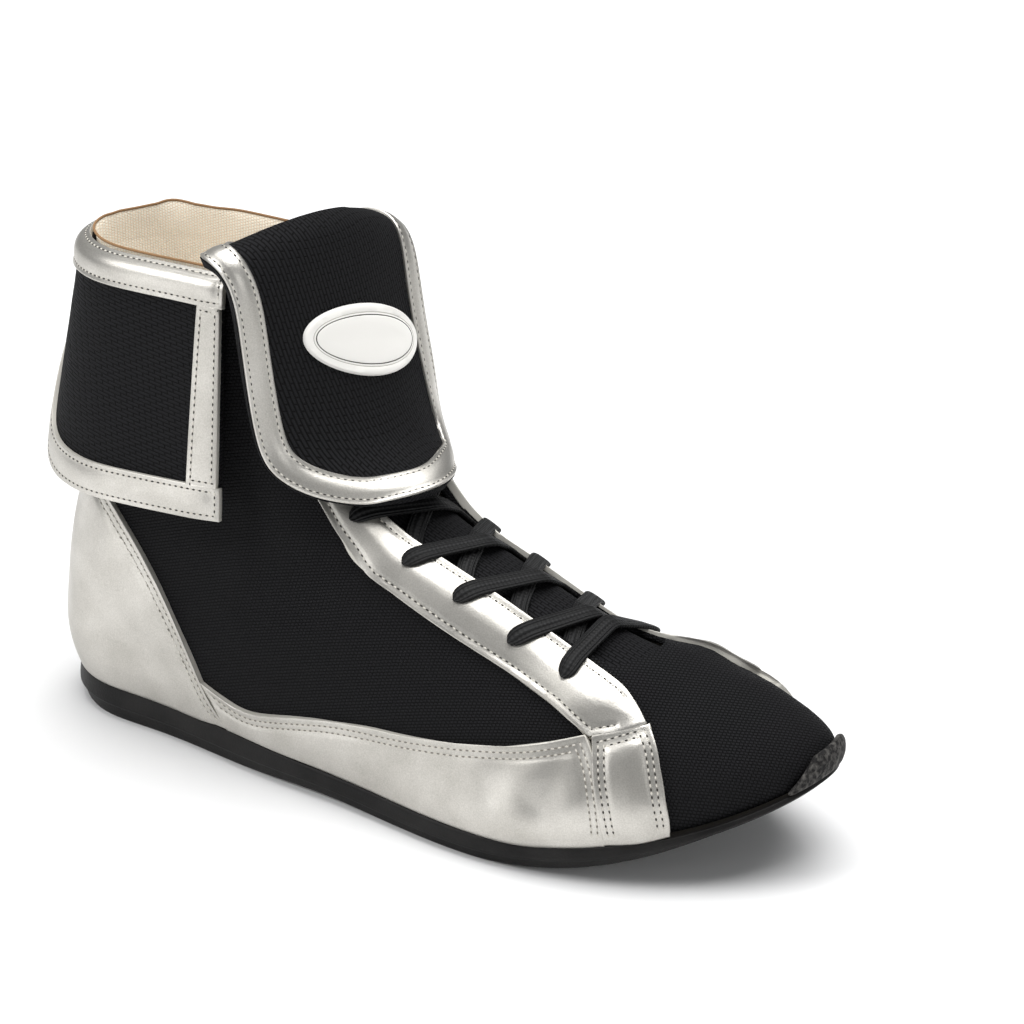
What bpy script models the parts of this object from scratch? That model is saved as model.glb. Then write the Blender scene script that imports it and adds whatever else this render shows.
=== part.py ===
"""A right boxing shoe, low in the sole, with a folded cuff and a tongue flap that hangs over the laces.

Lengths in the tables are millimetres. x runs from the back of the heel to the toe, y to the inner side of
the foot and z up from the floor. The finished model is in metres, with its origin in the middle of the
heel's flat rest face.
"""
import math

import bmesh
import bpy
import numpy as np
from mathutils import Vector

MM = 0.001
HEEL_CENTRE_X = 36.0
SOLE_LENGTH = 285.0

# Sole: thickness and the lift of its lower face along the shoe
HEEL_THICK = 13.0
BALL_THICK = 9.2
TIP_THICK = 5.5
HEEL_LEVEL_X = 40.0
SPRING_START_X = 188.0
TOE_SPRING = 30.0
SPRING_POWER = 1.8
TOE_THIN = 2.2
TOE_THIN_X = (236.0, 258.0)
ARCH_LIFT = 1.6
ARCH_START_X = 84.0
ARCH_END_X = 148.0
TOE_SWING = 11.0
SWING_START_X = 150.0
SIDE_LIP = 3.4

# Cloth and leather
UPPER_WALL = 2.0
GAP = 0.4
LIFT = 0.8
FOOT_CLEAR = 1.5
LEATHER = 1.3
TONGUE_WALL = 3.4
CUFF_WALL = 2.2
INSOLE_THICK = 3.0

# The last: a ring for each row, from the sole's edge up to the collar rim. A ring runs from a back point to
# a front point. Each rise is a height over the sole's top. Half widths are given at the heel, waist and
# ball stations, on the outer and the inner side. The rounds are the lengths over which the ends close.
RING_COLUMNS = ("back_x", "back_rise", "front_x", "front_rise", "heel", "waist_out", "waist_in",
                "ball_out", "ball_in", "back_round", "front_round")
RINGS = (
    (3.0, 0, 280, 0, 29.5, 38.0, 30.5, 46.0, 44.0, 31.0, 92),
    (0.5, 8, 282, 4, 31.5, 39.5, 33.0, 47.5, 46.0, 33.0, 92),
    (-0.5, 18, 279, 11, 32.5, 40.0, 35.0, 46.5, 45.5, 34.0, 80),
    (-1.0, 28, 267, 24, 32.5, 39.0, 36.0, 43.0, 42.0, 34.0, 68),
    (0.0, 38, 243, 41, 31.5, 37.0, 36.0, 38.5, 38.5, 33.5, 62),
    (2.0, 48, 216, 55, 30.0, 35.0, 35.0, 35.0, 35.5, 32.5, 66),
    (5.0, 59, 187, 69, 28.5, 33.0, 33.5, 33.0, 33.5, 31.5, 58),
    (9.0, 71, 158, 80, 27.5, 31.5, 32.0, 31.5, 32.0, 30.0, 50),
    (12.0, 83, 136, 89, 27.0, 31.0, 31.5, 30.0, 30.5, 29.0, 44),
    (13.0, 105, 120, 110, 28.0, 31.5, 32.0, 29.5, 30.0, 29.0, 37),
    (12.5, 129, 110, 132, 27.5, 30.0, 30.0, 28.5, 28.5, 29.0, 31),
    (12.0, 152, 102, 153, 26.5, 27.5, 27.5, 27.0, 27.0, 28.0, 26),
)
RIM = len(RINGS) - 1
HEEL_STATION, WAIST_STATION, BALL_STATION = 0.14, 0.42, 0.68

# Throat: the ring at its front end, and its half width at the front end, the instep and the rim
THROAT_RING = 4.7
THROAT_HALF = ((0.0, 16.0), (THROAT_RING, 16.5), (8.0, 18.0), (RIM, 21.0))

OUTER = -1
INNER = 1
SEARCH_STEPS = 40


def clear_scene():
    for old in list(bpy.data.objects):
        bpy.data.objects.remove(old, do_unlink=True)


def smooth_step(value, low, high):
    share = min(max((value - low) / (high - low), 0.0), 1.0)
    return share * share * (3 - 2 * share)


def smooth_row(rows, mark):
    """A row of a table at a mark between its rows, on a smooth curve through them."""
    last = len(rows) - 1
    low = min(max(int(mark), 0), last - 1)
    share = mark - low
    near = [np.array(rows[min(max(low + step, 0), last)], float) for step in (-1, 0, 1, 2)]
    before, start, end, after = near
    leave, arrive = (end - before) / 2, (after - start) / 2
    cube, square = share ** 3, share ** 2
    return ((2 * cube - 3 * square + 1) * start + (cube - 2 * square + share) * leave
            + (3 * square - 2 * cube) * end + (cube - square) * arrive)


def toe_spring(x):
    share = max((x - SPRING_START_X) / (SOLE_LENGTH - SPRING_START_X), 0.0)
    return TOE_SPRING * share ** SPRING_POWER


def sole_bottom(x):
    waist = (x - ARCH_START_X) / (ARCH_END_X - ARCH_START_X)
    arch = ARCH_LIFT * math.sin(math.pi * waist) ** 2 if 0 < waist < 1 else 0.0
    return toe_spring(x) + arch + TOE_THIN * smooth_step(x, *TOE_THIN_X)


def sole_thickness(x):
    to_ball = smooth_step(x, HEEL_LEVEL_X, SPRING_START_X)
    to_tip = smooth_step(x, SPRING_START_X, SOLE_LENGTH)
    return HEEL_THICK + (BALL_THICK - HEEL_THICK) * to_ball + (TIP_THICK - BALL_THICK) * to_tip


def sole_top(x):
    return toe_spring(x) + sole_thickness(x)


def middle_line(x):
    """The foot's curve to its inner side towards the toe."""
    return TOE_SWING * max((x - SWING_START_X) / (SOLE_LENGTH - SWING_START_X), 0.0) ** 2


def ring_sizes(ring):
    """The last's columns at a ring number between rows, on a smooth curve through the rows."""
    return dict(zip(RING_COLUMNS, smooth_row(RINGS, min(max(ring, 0.0), float(RIM)))))


def half_width(sizes, along, side):
    """Half width at a share of the ring's length, before its ends close."""
    waist = sizes["waist_out"] if side == OUTER else sizes["waist_in"]
    ball = sizes["ball_out"] if side == OUTER else sizes["ball_in"]
    to_waist = smooth_step(along, HEEL_STATION, WAIST_STATION)
    to_ball = smooth_step(along, WAIST_STATION, BALL_STATION)
    return sizes["heel"] + (waist - sizes["heel"]) * to_waist + (ball - waist) * to_ball


def end_closing(distance, round_length):
    short = max(1 - distance / round_length, 0.0)
    return math.sqrt(max(1 - short * short, 0.0))


def last_point(turn, ring):
    """A point of the last's surface. turn is 0 at the back, 0.25 on the outer side, 0.5 at the front."""
    sizes = ring_sizes(ring)
    length = sizes["front_x"] - sizes["back_x"]
    along = (1 - math.cos(2 * math.pi * turn)) / 2
    side = OUTER if turn % 1.0 < 0.5 else INNER
    width = half_width(sizes, along, side)
    width *= end_closing(along * length, sizes["back_round"])
    width *= end_closing((1 - along) * length, sizes["front_round"])
    x = sizes["back_x"] + along * length
    rise = sizes["back_rise"] + (sizes["front_rise"] - sizes["back_rise"]) * along
    return np.array([x, middle_line(x) + side * width, sole_top(x) + rise])


def grown_point(surface, across, along, grow, across_step=0.004, along_step=0.02):
    """A point of a surface moved out along its normal by grow."""
    tangent = surface(across + across_step, along) - surface(across - across_step, along)
    climb = surface(across, along + along_step) - surface(across, along - along_step)
    normal = np.cross(tangent, climb)
    return surface(across, along) + normal / np.linalg.norm(normal) * grow


def turn_at_half(ring, half, side):
    """The turn near a ring's front where the wall is half away from the middle line."""
    low, high = 0.3, 0.5
    for _ in range(SEARCH_STEPS):
        middle = (low + high) / 2
        point = last_point(middle, ring)
        if middle_line(point[0]) - point[1] > half:
            low = middle
        else:
            high = middle
    return low if side == OUTER else 1 - low


def turn_at_x(ring, x, side):
    sizes = ring_sizes(ring)
    along = (x - sizes["back_x"]) / (sizes["front_x"] - sizes["back_x"])
    turn = math.acos(1 - 2 * min(max(along, 0.0), 1.0)) / (2 * math.pi)
    return turn if side == OUTER else 1 - turn


def on_flank(x, z, side):
    """The turn and ring of the place on the shoe's flank that a side view shows at x and z."""
    low, high = 0.0, float(RIM)
    for _ in range(SEARCH_STEPS):
        middle = (low + high) / 2
        if last_point(turn_at_x(middle, x, side), middle)[2] < z:
            low = middle
        else:
            high = middle
    return np.array([turn_at_x(low, x, side), low])


def on_top(x, half, side):
    """The turn and ring of the place on the instep at x and half away from the middle line."""
    low, high = 0.0, float(RIM)
    for _ in range(SEARCH_STEPS):
        middle = (low + high) / 2
        point = last_point(turn_at_x(middle, x, side), middle)
        if ring_sizes(middle)["front_x"] > x and abs(point[1] - middle_line(x)) > half:
            low = middle
        else:
            high = middle
    return np.array([turn_at_x(low, x, side), low])


def metres(point):
    return Vector(((point[0] - HEEL_CENTRE_X) * MM, point[1] * MM, point[2] * MM))


def finish(name, bm, material, wall=0.0, offset=-1.0):
    """Make a bmesh an object with its material, and give a sheet its wall."""
    mesh = bpy.data.meshes.new(name)
    bm.to_mesh(mesh)
    bm.free()
    mesh.materials.append(material)
    mesh.shade_smooth()
    thing = bpy.data.objects.new(name, mesh)
    bpy.context.scene.collection.objects.link(thing)
    if wall:
        solid = thing.modifiers.new("wall", "SOLIDIFY")
        solid.thickness = wall * MM
        solid.offset = offset
        solid.use_even_offset = False
    return thing


def sheet(name, grid, material, wall, offset=-1.0, wrap=False, skip=()):
    """A walled sheet over rows of points. wrap joins each row's ends, and skip leaves cells out."""
    bm = bmesh.new()
    verts = [[bm.verts.new(metres(point)) for point in row] for row in grid]
    across = len(grid[0])
    for row in range(len(grid) - 1):
        for column in range(across if wrap else across - 1):
            if (row, column) in skip:
                continue
            following = (column + 1) % across
            bm.faces.new((verts[row][column], verts[row][following],
                          verts[row + 1][following], verts[row + 1][column]))
    loose = [vert for vert in bm.verts if not vert.link_faces]
    bmesh.ops.delete(bm, geom=loose, context="VERTS")
    return finish(name, bm, material, wall, offset)


def between(edges, columns):
    """Rows of surface places, each row between the two places of an edge row."""
    shares = np.linspace(0, 1, columns + 1)
    return [[start + (end - start) * share for share in shares] for start, end in edges]


def panel(name, surface, rows, material, low, wall, face=1):
    """A piece laid on a surface, over rows of surface places."""
    grid = [[grown_point(surface, place[0], place[1], low * face) for place in row] for row in rows]
    return sheet(name, grid, material, wall, offset=face)


def spread(rows, count):
    """Rows of a table as count rows on a smooth curve through them."""
    return [smooth_row(rows, mark) for mark in np.linspace(0, len(rows) - 1, count)]


def material(name, colour, roughness, metallic=0.0):
    made = bpy.data.materials.new(name)
    made.use_nodes = True
    shader = made.node_tree.nodes["Principled BSDF"]
    shader.inputs["Base Color"].default_value = (*colour, 1)
    shader.inputs["Roughness"].default_value = roughness
    shader.inputs["Metallic"].default_value = metallic
    return made


# Upper: how its grid is divided
SIDE_COLUMNS = 16
THROAT_COLUMNS = 6
ROWS_BELOW_THROAT = 7
ROWS_ALONG_THROAT = 9


def throat_half(ring):
    return float(np.interp(ring, *zip(*THROAT_HALF)))


def ring_turns(ring):
    """Turns of a ring's grid points: the outer side, the throat and the inner side."""
    edge = turn_at_half(ring, throat_half(ring), OUTER)
    outer = list(np.linspace(0, edge, SIDE_COLUMNS + 1))
    throat = list(np.linspace(edge, 1 - edge, THROAT_COLUMNS + 1))[1:-1]
    inner = list(np.linspace(1 - edge, 1, SIDE_COLUMNS + 1))[:-1]
    return outer + throat + inner


def make_upper(cloth):
    rings = list(np.linspace(0, THROAT_RING, ROWS_BELOW_THROAT + 1))
    rings += list(np.linspace(THROAT_RING, RIM, ROWS_ALONG_THROAT + 1))[1:]
    grid = [[last_point(turn, ring) for turn in ring_turns(ring)] for ring in rings]
    for point in grid[0]:
        point[2] += GAP
    skip = {(row, SIDE_COLUMNS + column) for row in range(ROWS_BELOW_THROAT, len(rings) - 1)
            for column in range(THROAT_COLUMNS)}
    return sheet("upper", grid, cloth, UPPER_WALL, wrap=True, skip=skip)


# Sole's side from its top edge down: share of the thickness and how far it stands out from the feather line
SOLE_COLUMNS = 52
SOLE_SIDE = ((1.0, 2.2), (0.93, 2.8), (0.62, 3.3), (0.55, SIDE_LIP), (0.46, SIDE_LIP), (0.40, 2.2),
             (0.08, 1.4), (0.0, 0.6))


def feather_point(turn, out):
    """A point of the sole's plan outline, out from the feather line."""
    step = 0.002
    along = last_point(turn + step, 0) - last_point(turn - step, 0)
    away = np.array([along[1], -along[0], 0.0])
    return last_point(turn, 0) + away / np.linalg.norm(away) * out


def make_sole(rubber):
    bm = bmesh.new()
    loops = []
    for share, out in SOLE_SIDE:
        loop = []
        for index in range(SOLE_COLUMNS):
            point = feather_point(index / SOLE_COLUMNS, out)
            x = min(max(point[0], 0.0), SOLE_LENGTH)
            point[2] = sole_bottom(x) + share * (sole_top(x) - sole_bottom(x))
            loop.append(bm.verts.new(metres(point)))
        loops.append(loop)
    for upper, lower in zip(loops, loops[1:]):
        for index in range(SOLE_COLUMNS):
            following = (index + 1) % SOLE_COLUMNS
            bm.faces.new((upper[index], upper[following], lower[following], lower[index]))
    for loop in (loops[0], loops[-1]):
        for index in range(SOLE_COLUMNS // 2):
            corners = [loop[index], loop[index + 1], loop[(-index - 1) % SOLE_COLUMNS], loop[-index]]
            bm.faces.new(list(dict.fromkeys(corners)))
    bmesh.ops.recalc_face_normals(bm, faces=bm.faces)
    return finish("sole", bm, rubber)


# Insole: how its grid is divided, its turns at heel and toe, and its distance from the feather line
INSOLE_ROWS, INSOLE_COLUMNS = 18, 2
INSOLE_TURNS = (0.02, 0.48)
INSOLE_INSET = UPPER_WALL + 1.2


def make_insole(cloth):
    rows = []
    for turn in np.linspace(*INSOLE_TURNS, INSOLE_ROWS):
        outer = feather_point(turn, -INSOLE_INSET)
        inner = feather_point(1 - turn, -INSOLE_INSET)
        row = [inner + (outer - inner) * share for share in np.linspace(0, 1, INSOLE_COLUMNS + 1)]
        for point in row:
            point[2] = sole_top(point[0]) + GAP
        rows.append(row)
    return sheet("insole", rows, cloth, INSOLE_THICK, offset=1)


# Counter: its edge on both flanks, from the sole up, as side-view x and z
COUNTER_EDGE = ((82, 14.0), (78, 19), (73, 26), (65, 41), (56, 54), (45, 67), (31, 81), (21, 87))
# Mudguard: side-view x on the sole, x and height over the sole of its top edge, from counter to strap
MUDGUARD = ((83.5, 74, 15), (92, 85, 11.5), (101, 95, 11), (115, 111, 15.5), (134, 131, 20.5),
            (158, 155, 24), (185, 182, 28), (207, 201, 31.5), (227.6, 217.7, 34.8))
# The mudguard's ends lean back more towards the top, by this power of the height
MUDGUARD_LEAN = 1.7
# Vamp strap from the sole up: side-view x and height over the sole of its back edge, then of its front edge.
# Its top edge is one seam below the eyestay
VAMP_STRAP = ((229.0, FOOT_CLEAR, 246.5, FOOT_CLEAR), (228.5, 9, 246.2, 9), (226.7, 17.5, 244.2, 16.5),
              (223.8, 25.5, 240.8, 25))
STRAP_SEAM_RING = 0.07
# Eyestay: side-view x and z of its outer edge, x and half width of its throat edge, from the strap up
EYESTAY = ((219, 47.5, 233, 27.3), (212, 51.3, 224, 22.8), (203, 55.5, 214, 20), (189, 60.8, 199, 18.3),
           (170, 68, 178, 18.3), (149, 77, 157, 18.7), (133, 84, 142, 19))
# The inner side's strap and front end stand further forward, as the ball of the foot does
INNER_FORWARD, INNER_FORWARD_FROM, INNER_FORWARD_TO = 11.0, 180.0, 232.0
# Eyestay on the shaft: ring, side-view x of its outer edge
EYESTAY_SHAFT = ((8.3, 112), (8.8, 102.5), (9.3, 95.5), (9.8, 90.5), (10.15, 88))
# Toe guard: half width by ring, from the sole up
TOE_GUARD = ((0.5, 17.5), (0.95, 15.5), (1.4, 12.5), (1.8, 8))
TOE_GUARD_WALL = 2.2
# Rows and columns of the pieces laid on the last
COUNTER_GRID = (9, 22)
MUDGUARD_GRID = (16, 5)
STRAP_GRID = (7, 4)
EYESTAY_GRID = (13, 4)
SHAFT_ROWS = 7
TOE_GUARD_GRID = (6, 12)
THROAT_MARGIN = 1.0


def forward(x, side):
    """Side-view x of a front place on one side of the shoe."""
    return x + INNER_FORWARD * smooth_step(x, INNER_FORWARD_FROM, INNER_FORWARD_TO) * (side == INNER)


def make_counter(leather):
    places = [on_flank(x, z, OUTER) for x, z in spread(COUNTER_EDGE, COUNTER_GRID[0])]
    edges = [(np.array([-turn, ring]), np.array([turn, ring])) for turn, ring in places]
    return panel("counter", last_point, between(edges, COUNTER_GRID[1]), leather, LIFT, LEATHER)


def make_mudguard(name, side, leather):
    rows = []
    for low_x, top_x, rise in spread(MUDGUARD, MUDGUARD_GRID[0]):
        row = []
        for share in np.linspace(1, 0, MUDGUARD_GRID[1] + 1):
            x = forward(low_x + (top_x - low_x) * share ** MUDGUARD_LEAN, side)
            row.append(on_flank(x, sole_top(x) + FOOT_CLEAR + (rise - FOOT_CLEAR) * share, side))
        rows.append(row if side == OUTER else row[::-1])
    return panel(name, last_point, rows, leather, LIFT, LEATHER)


def eyestay_row(row, side):
    """The places of an eyestay row's outer edge and throat edge."""
    outer_x, outer_z, throat_x, half = row
    moved_x = forward(outer_x, side)
    moved_z = outer_z + sole_top(moved_x) - sole_top(outer_x)
    return [on_flank(moved_x, moved_z, side), on_top(forward(throat_x, side), half, side)]


def make_vamp_strap(name, side, leather):
    places = []
    for row in VAMP_STRAP:
        pair = []
        for x, rise in (row[:2], row[2:]):
            x = forward(x, side)
            pair.append(on_flank(x, sole_top(x) + rise, side))
        places.append(np.concatenate(pair))
    corners = eyestay_row(EYESTAY[0], side)
    places.append(np.concatenate([corner - (0, STRAP_SEAM_RING) for corner in corners]))
    edges = [(row[:2], row[2:]) if side == OUTER else (row[2:], row[:2])
             for row in np.array(spread(places, STRAP_GRID[0]))]
    return panel(name, last_point, between(edges, STRAP_GRID[1]), leather, LIFT, LEATHER)


def make_eyestay(name, side, leather):
    edges = [eyestay_row(row, side) for row in spread(EYESTAY, EYESTAY_GRID[0])]
    for ring, outer_x in spread(EYESTAY_SHAFT, SHAFT_ROWS):
        throat = turn_at_half(ring, throat_half(ring) + THROAT_MARGIN, side)
        edges.append([np.array([turn_at_x(ring, outer_x, side), ring]), np.array([throat, ring])])
    if side == INNER:
        edges = [row[::-1] for row in edges]
    return panel(name, last_point, between(edges, EYESTAY_GRID[1]), leather, LIFT, LEATHER)


def make_toe_guard(rubber):
    edges = []
    for ring, half in spread(TOE_GUARD, TOE_GUARD_GRID[0]):
        outer = turn_at_half(ring, half, OUTER)
        edges.append([np.array([outer, ring]), np.array([1 - outer, ring])])
    return panel("toe_guard", last_point, between(edges, TOE_GUARD_GRID[1]), rubber, GAP, TOE_GUARD_WALL)


# Cuff: the collar's cloth folded over the rim. Depth of its hem below the rim, from back to front edge
CUFF_HEM = ((0.0, 39), (0.06, 41), (0.12, 48), (0.18, 59), (0.25, 69), (0.34, 73), (0.5, 74), (0.8, 73),
            (1.0, 72))
CUFF_FOLD_RADIUS = 3.4
CUFF_FOLD_SHARE = 0.1
CUFF_FOLD_ANGLE = math.radians(100)
CUFF_FLARE = 13.0
CUFF_FLARE_DEPTH = 70.0
CUFF_FRONT_X = (81.0, 82.5)
CUFF_COLUMNS, CUFF_FOLD_ROWS, CUFF_HANG_ROWS = 32, 3, 6
# Bands: widths, the mark inside the rim where the top band starts, the front bands' share across the cuff,
# the part of it left free at the edge, and the seams between bands
TOP_BAND, HEM_BAND = 4.0, 10.0
TOP_BAND_START = 0.02
FRONT_BAND_SHARE, FRONT_BAND_FREE = 0.044, 0.004
BAND_SEAM = 0.5
TOP_BAND_COLUMNS, HEM_BAND_COLUMNS, FRONT_BAND_ROWS = 6, 2, 7


def cuff_turn(across, mark):
    """The rim's turn at a share across the cuff, from its outer front edge round to the inner one."""
    front_x = CUFF_FRONT_X[0] + (CUFF_FRONT_X[1] - CUFF_FRONT_X[0]) * mark
    edge = turn_at_x(RIM, front_x, OUTER)
    return edge * (1 - 2 * across)


def cuff_depth(across):
    return float(np.interp(abs(1 - 2 * across), *zip(*CUFF_HEM)))


def cuff_point(across, mark):
    """A point of the cuff's middle sheet. mark is 0 inside the rim and 1 at the hem."""
    turn = cuff_turn(across, mark)
    step = 0.004
    rim = last_point(turn, RIM)
    along = last_point(turn + step, RIM) - last_point(turn - step, RIM)
    away = np.array([along[1], -along[0], 0.0])
    away /= np.linalg.norm(away)
    up = np.array([0.0, 0.0, 1.0])
    if mark < CUFF_FOLD_SHARE:
        angle = CUFF_FOLD_ANGLE * (1 - mark / CUFF_FOLD_SHARE)
        reach = math.cos(angle) * CUFF_FOLD_RADIUS - UPPER_WALL / 2
        return rim + away * reach + up * math.sin(angle) * CUFF_FOLD_RADIUS
    depth = (mark - CUFF_FOLD_SHARE) / (1 - CUFF_FOLD_SHARE) * cuff_depth(across)
    flare = CUFF_FLARE * depth / CUFF_FLARE_DEPTH
    return rim + away * (CUFF_FOLD_RADIUS - UPPER_WALL / 2 + flare) - up * depth


def cuff_mark(across, depth):
    return CUFF_FOLD_SHARE + (1 - CUFF_FOLD_SHARE) * depth / cuff_depth(across)


def make_cuff(cloth):
    marks = list(np.linspace(0, CUFF_FOLD_SHARE, CUFF_FOLD_ROWS + 1))[:-1]
    marks += list(np.linspace(CUFF_FOLD_SHARE, 1, CUFF_HANG_ROWS + 1))
    shares = np.linspace(0, 1, CUFF_COLUMNS + 1)
    grid = [[cuff_point(across, mark) for across in shares] for mark in marks]
    return sheet("cuff", grid, cloth, CUFF_WALL, offset=0)


def make_cuff_bands(leather):
    out = CUFF_WALL / 2 + LIFT
    top, hem = [], []
    for across in np.linspace(0, 1, CUFF_COLUMNS + 1):
        hem_mark = cuff_mark(across, cuff_depth(across) - HEM_BAND)
        top.append((np.array([across, cuff_mark(across, TOP_BAND)]), np.array([across, TOP_BAND_START])))
        hem.append((np.array([across, 1.0]), np.array([across, hem_mark])))
    panel("cuff_top_band", cuff_point, between(top, TOP_BAND_COLUMNS), leather, out, LEATHER)
    panel("cuff_hem_band", cuff_point, between(hem, HEM_BAND_COLUMNS), leather, out, LEATHER)
    low, high = cuff_mark(0, TOP_BAND + BAND_SEAM), cuff_mark(0, cuff_depth(0) - HEM_BAND - BAND_SEAM)
    for name, start, end in (("cuff_front_band_lateral", FRONT_BAND_FREE, FRONT_BAND_SHARE),
                             ("cuff_front_band_medial", 1 - FRONT_BAND_SHARE, 1 - FRONT_BAND_FREE)):
        marks = np.linspace(low, high, FRONT_BAND_ROWS)
        rows = [(np.array([start, mark]), np.array([end, mark])) for mark in marks]
        panel(name, cuff_point, between(rows, 1), leather, out, LEATHER)


# Tongue: in the throat it follows the last, below the wall. Its half width there, by ring
TONGUE_RINGS = (4.1, 4.9, 5.7, 6.5, 7.3, 8.1, 8.9, 9.7, 10.4, 11.0)
TONGUE_HALF = ((4.1, 19), (6.0, 24), (8.0, 26), (RIM, 26))
TONGUE_DEPTH = ((4.1, 5.2), (8.0, 5.2), (RIM, 7.5))
# Fold and flap: x and z in the middle, half width, how far the side edges lie behind the middle, how far the
# inner edge is turned forward, the shift to the inner side, how far the edges droop and the inner one tilts
TONGUE_FLAP = (
    (95.5, 173, 26, 14, 0, 0, 0, 0),
    (96, 181, 31, 12.5, 5, -1.5, 5, 1),
    (99, 186.5, 36, 10.5, 8.5, -3, 9, 1.5),
    (103, 188.5, 37.5, 9.5, 10, -4, 11, 2),
    (107, 186, 37.5, 8.5, 10, -4.5, 10, 2),
    (109.5, 179, 37, 7.5, 10, -4.5, 8, 2.5),
    (111.5, 168, 36.5, 7, 10, -5, 6, 2.5),
    (115, 151, 36.2, 8, 10.5, -5.5, 4.5, 2.5),
    (120, 135, 36, 10, 11, -6, 3, 2),
    (127, 119, 35.5, 14, 10.5, -6.5, 2.5, 1.5),
    (134, 113, 34, 16, 9, -7, 3, 1),
    (141, 108.5, 30, 15.5, 6, -6.5, 3, 0),
    (148, 104.5, 22, 13.5, 2, -6, 1.5, 0),
)
TONGUE_COLUMNS = 12
BINDING = 10.0
BINDING_LIFT = 1.3
BINDING_COLUMNS = 3
BINDING_START = 0.6
BINDING_SIDE_ROWS, BINDING_END_ROWS = 14, 9


def tongue_row(mark):
    """The flap's sizes at a mark past the rim."""
    return smooth_row(TONGUE_FLAP, mark - len(TONGUE_RINGS))


def tongue_point(across, mark):
    """A point of the tongue's middle sheet. across is -1 at its outer edge, and mark counts its rows."""
    if mark <= len(TONGUE_RINGS) - 1:
        ring = float(np.interp(mark, range(len(TONGUE_RINGS)), TONGUE_RINGS))
        half = float(np.interp(ring, *zip(*TONGUE_HALF))) * abs(across)
        depth = float(np.interp(ring, *zip(*TONGUE_DEPTH)))
        turn = turn_at_half(ring, half, OUTER if across < 0 else INNER) if half > 0.01 else 0.5
        return grown_point(last_point, turn, ring, -depth)
    if mark < len(TONGUE_RINGS):
        share = mark - (len(TONGUE_RINGS) - 1)
        below = tongue_point(across, len(TONGUE_RINGS) - 1)
        return below + (tongue_point(across, len(TONGUE_RINGS)) - below) * share
    x, z, half, sag, twist, shift, droop, tilt = tongue_row(mark)
    bow = across * across
    height = z - droop * bow - tilt * across
    return np.array([x - sag * bow + twist * across, shift + half * across, height])


def make_tongue(cloth):
    rows = range(len(TONGUE_RINGS) + len(TONGUE_FLAP))
    grid = [[tongue_point(across, row) for across in np.linspace(-1, 1, TONGUE_COLUMNS + 1)] for row in rows]
    return sheet("tongue", grid, cloth, TONGUE_WALL, offset=0)


def flap_mark(z):
    """The flap's mark at a height, on its hanging side."""
    low, high = len(TONGUE_RINGS) + 2.0, len(TONGUE_RINGS) + len(TONGUE_FLAP) - 1.0
    for _ in range(SEARCH_STEPS):
        middle = (low + high) / 2
        if tongue_row(middle)[1] > z:
            low = middle
        else:
            high = middle
    return low


def make_binding(leather):
    """A silver strip round the flap's side edges and lower end, on its outer face."""
    first, last = len(TONGUE_RINGS) + BINDING_START, len(TONGUE_RINGS) + len(TONGUE_FLAP) - 1
    inside = flap_mark(tongue_row(last)[1] + BINDING)
    side = [(-1.0, mark) for mark in np.linspace(first, last, BINDING_SIDE_ROWS)]
    side_inner = []
    for edge, mark in side:
        held = min(mark, inside)
        side_inner.append((-1 + BINDING / tongue_row(held)[2], held))
    low_edge = [(across, last) for across in np.linspace(-1, 1, BINDING_END_ROWS)[1:-1]]
    end = side_inner[-1][0]
    low_inner = [(across, inside) for across in np.linspace(end, -end, BINDING_END_ROWS)[1:-1]]
    outline = side + low_edge + [(-across, mark) for across, mark in side[::-1]]
    inner = side_inner + low_inner + [(-across, mark) for across, mark in side_inner[::-1]]
    edges = [(np.array(start), np.array(stop)) for start, stop in zip(outline, inner)]
    low = TONGUE_WALL / 2 + BINDING_LIFT
    rows = between(edges, BINDING_COLUMNS)
    return panel("tongue_binding", tongue_point, rows, leather, low, LEATHER, face=-1)


BADGE_HALF_WIDTH, BADGE_HALF_HEIGHT, BADGE_THICK = 22.5, 12.0, 1.8
BADGE_Y, BADGE_Z, BADGE_TILT = -3.2, 149.0, math.radians(-8.5)
BADGE_GRID = (11, 6)
BADGE_END_SHARE = 0.97


def make_badge(plastic):
    edges = []
    for share in np.linspace(-BADGE_END_SHARE, BADGE_END_SHARE, BADGE_GRID[0]):
        reach = BADGE_HALF_WIDTH * math.sqrt(1 - share * share)
        row = []
        for y in (-reach, reach):
            z = BADGE_Z - share * BADGE_HALF_HEIGHT + y * math.tan(BADGE_TILT)
            mark = flap_mark(z)
            row.append(np.array([(BADGE_Y + y - tongue_row(mark)[5]) / tongue_row(mark)[2], mark]))
        edges.append(row)
    low = TONGUE_WALL / 2 + LIFT
    rows = between(edges, BADGE_GRID[1])
    return panel("tongue_badge", tongue_point, rows, plastic, low, BADGE_THICK, face=-1)


# Lace: x of its hole rows from the toe up, and half width of the rows
LACE_ROWS = (206.0, 187.0, 168.0, 150.0, 138.0)
LACE_HOLE_HALF, LACE_EDGE_HALF = 25.5, 19.0
LACE_WIDTH, LACE_THICK = 6.0, 1.7
LACE_LIFT, LACE_END_LIFT = 4.5, 3.7
LACE_STATIONS = 9
LACE_RIDGE_HALF = 0.6


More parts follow.
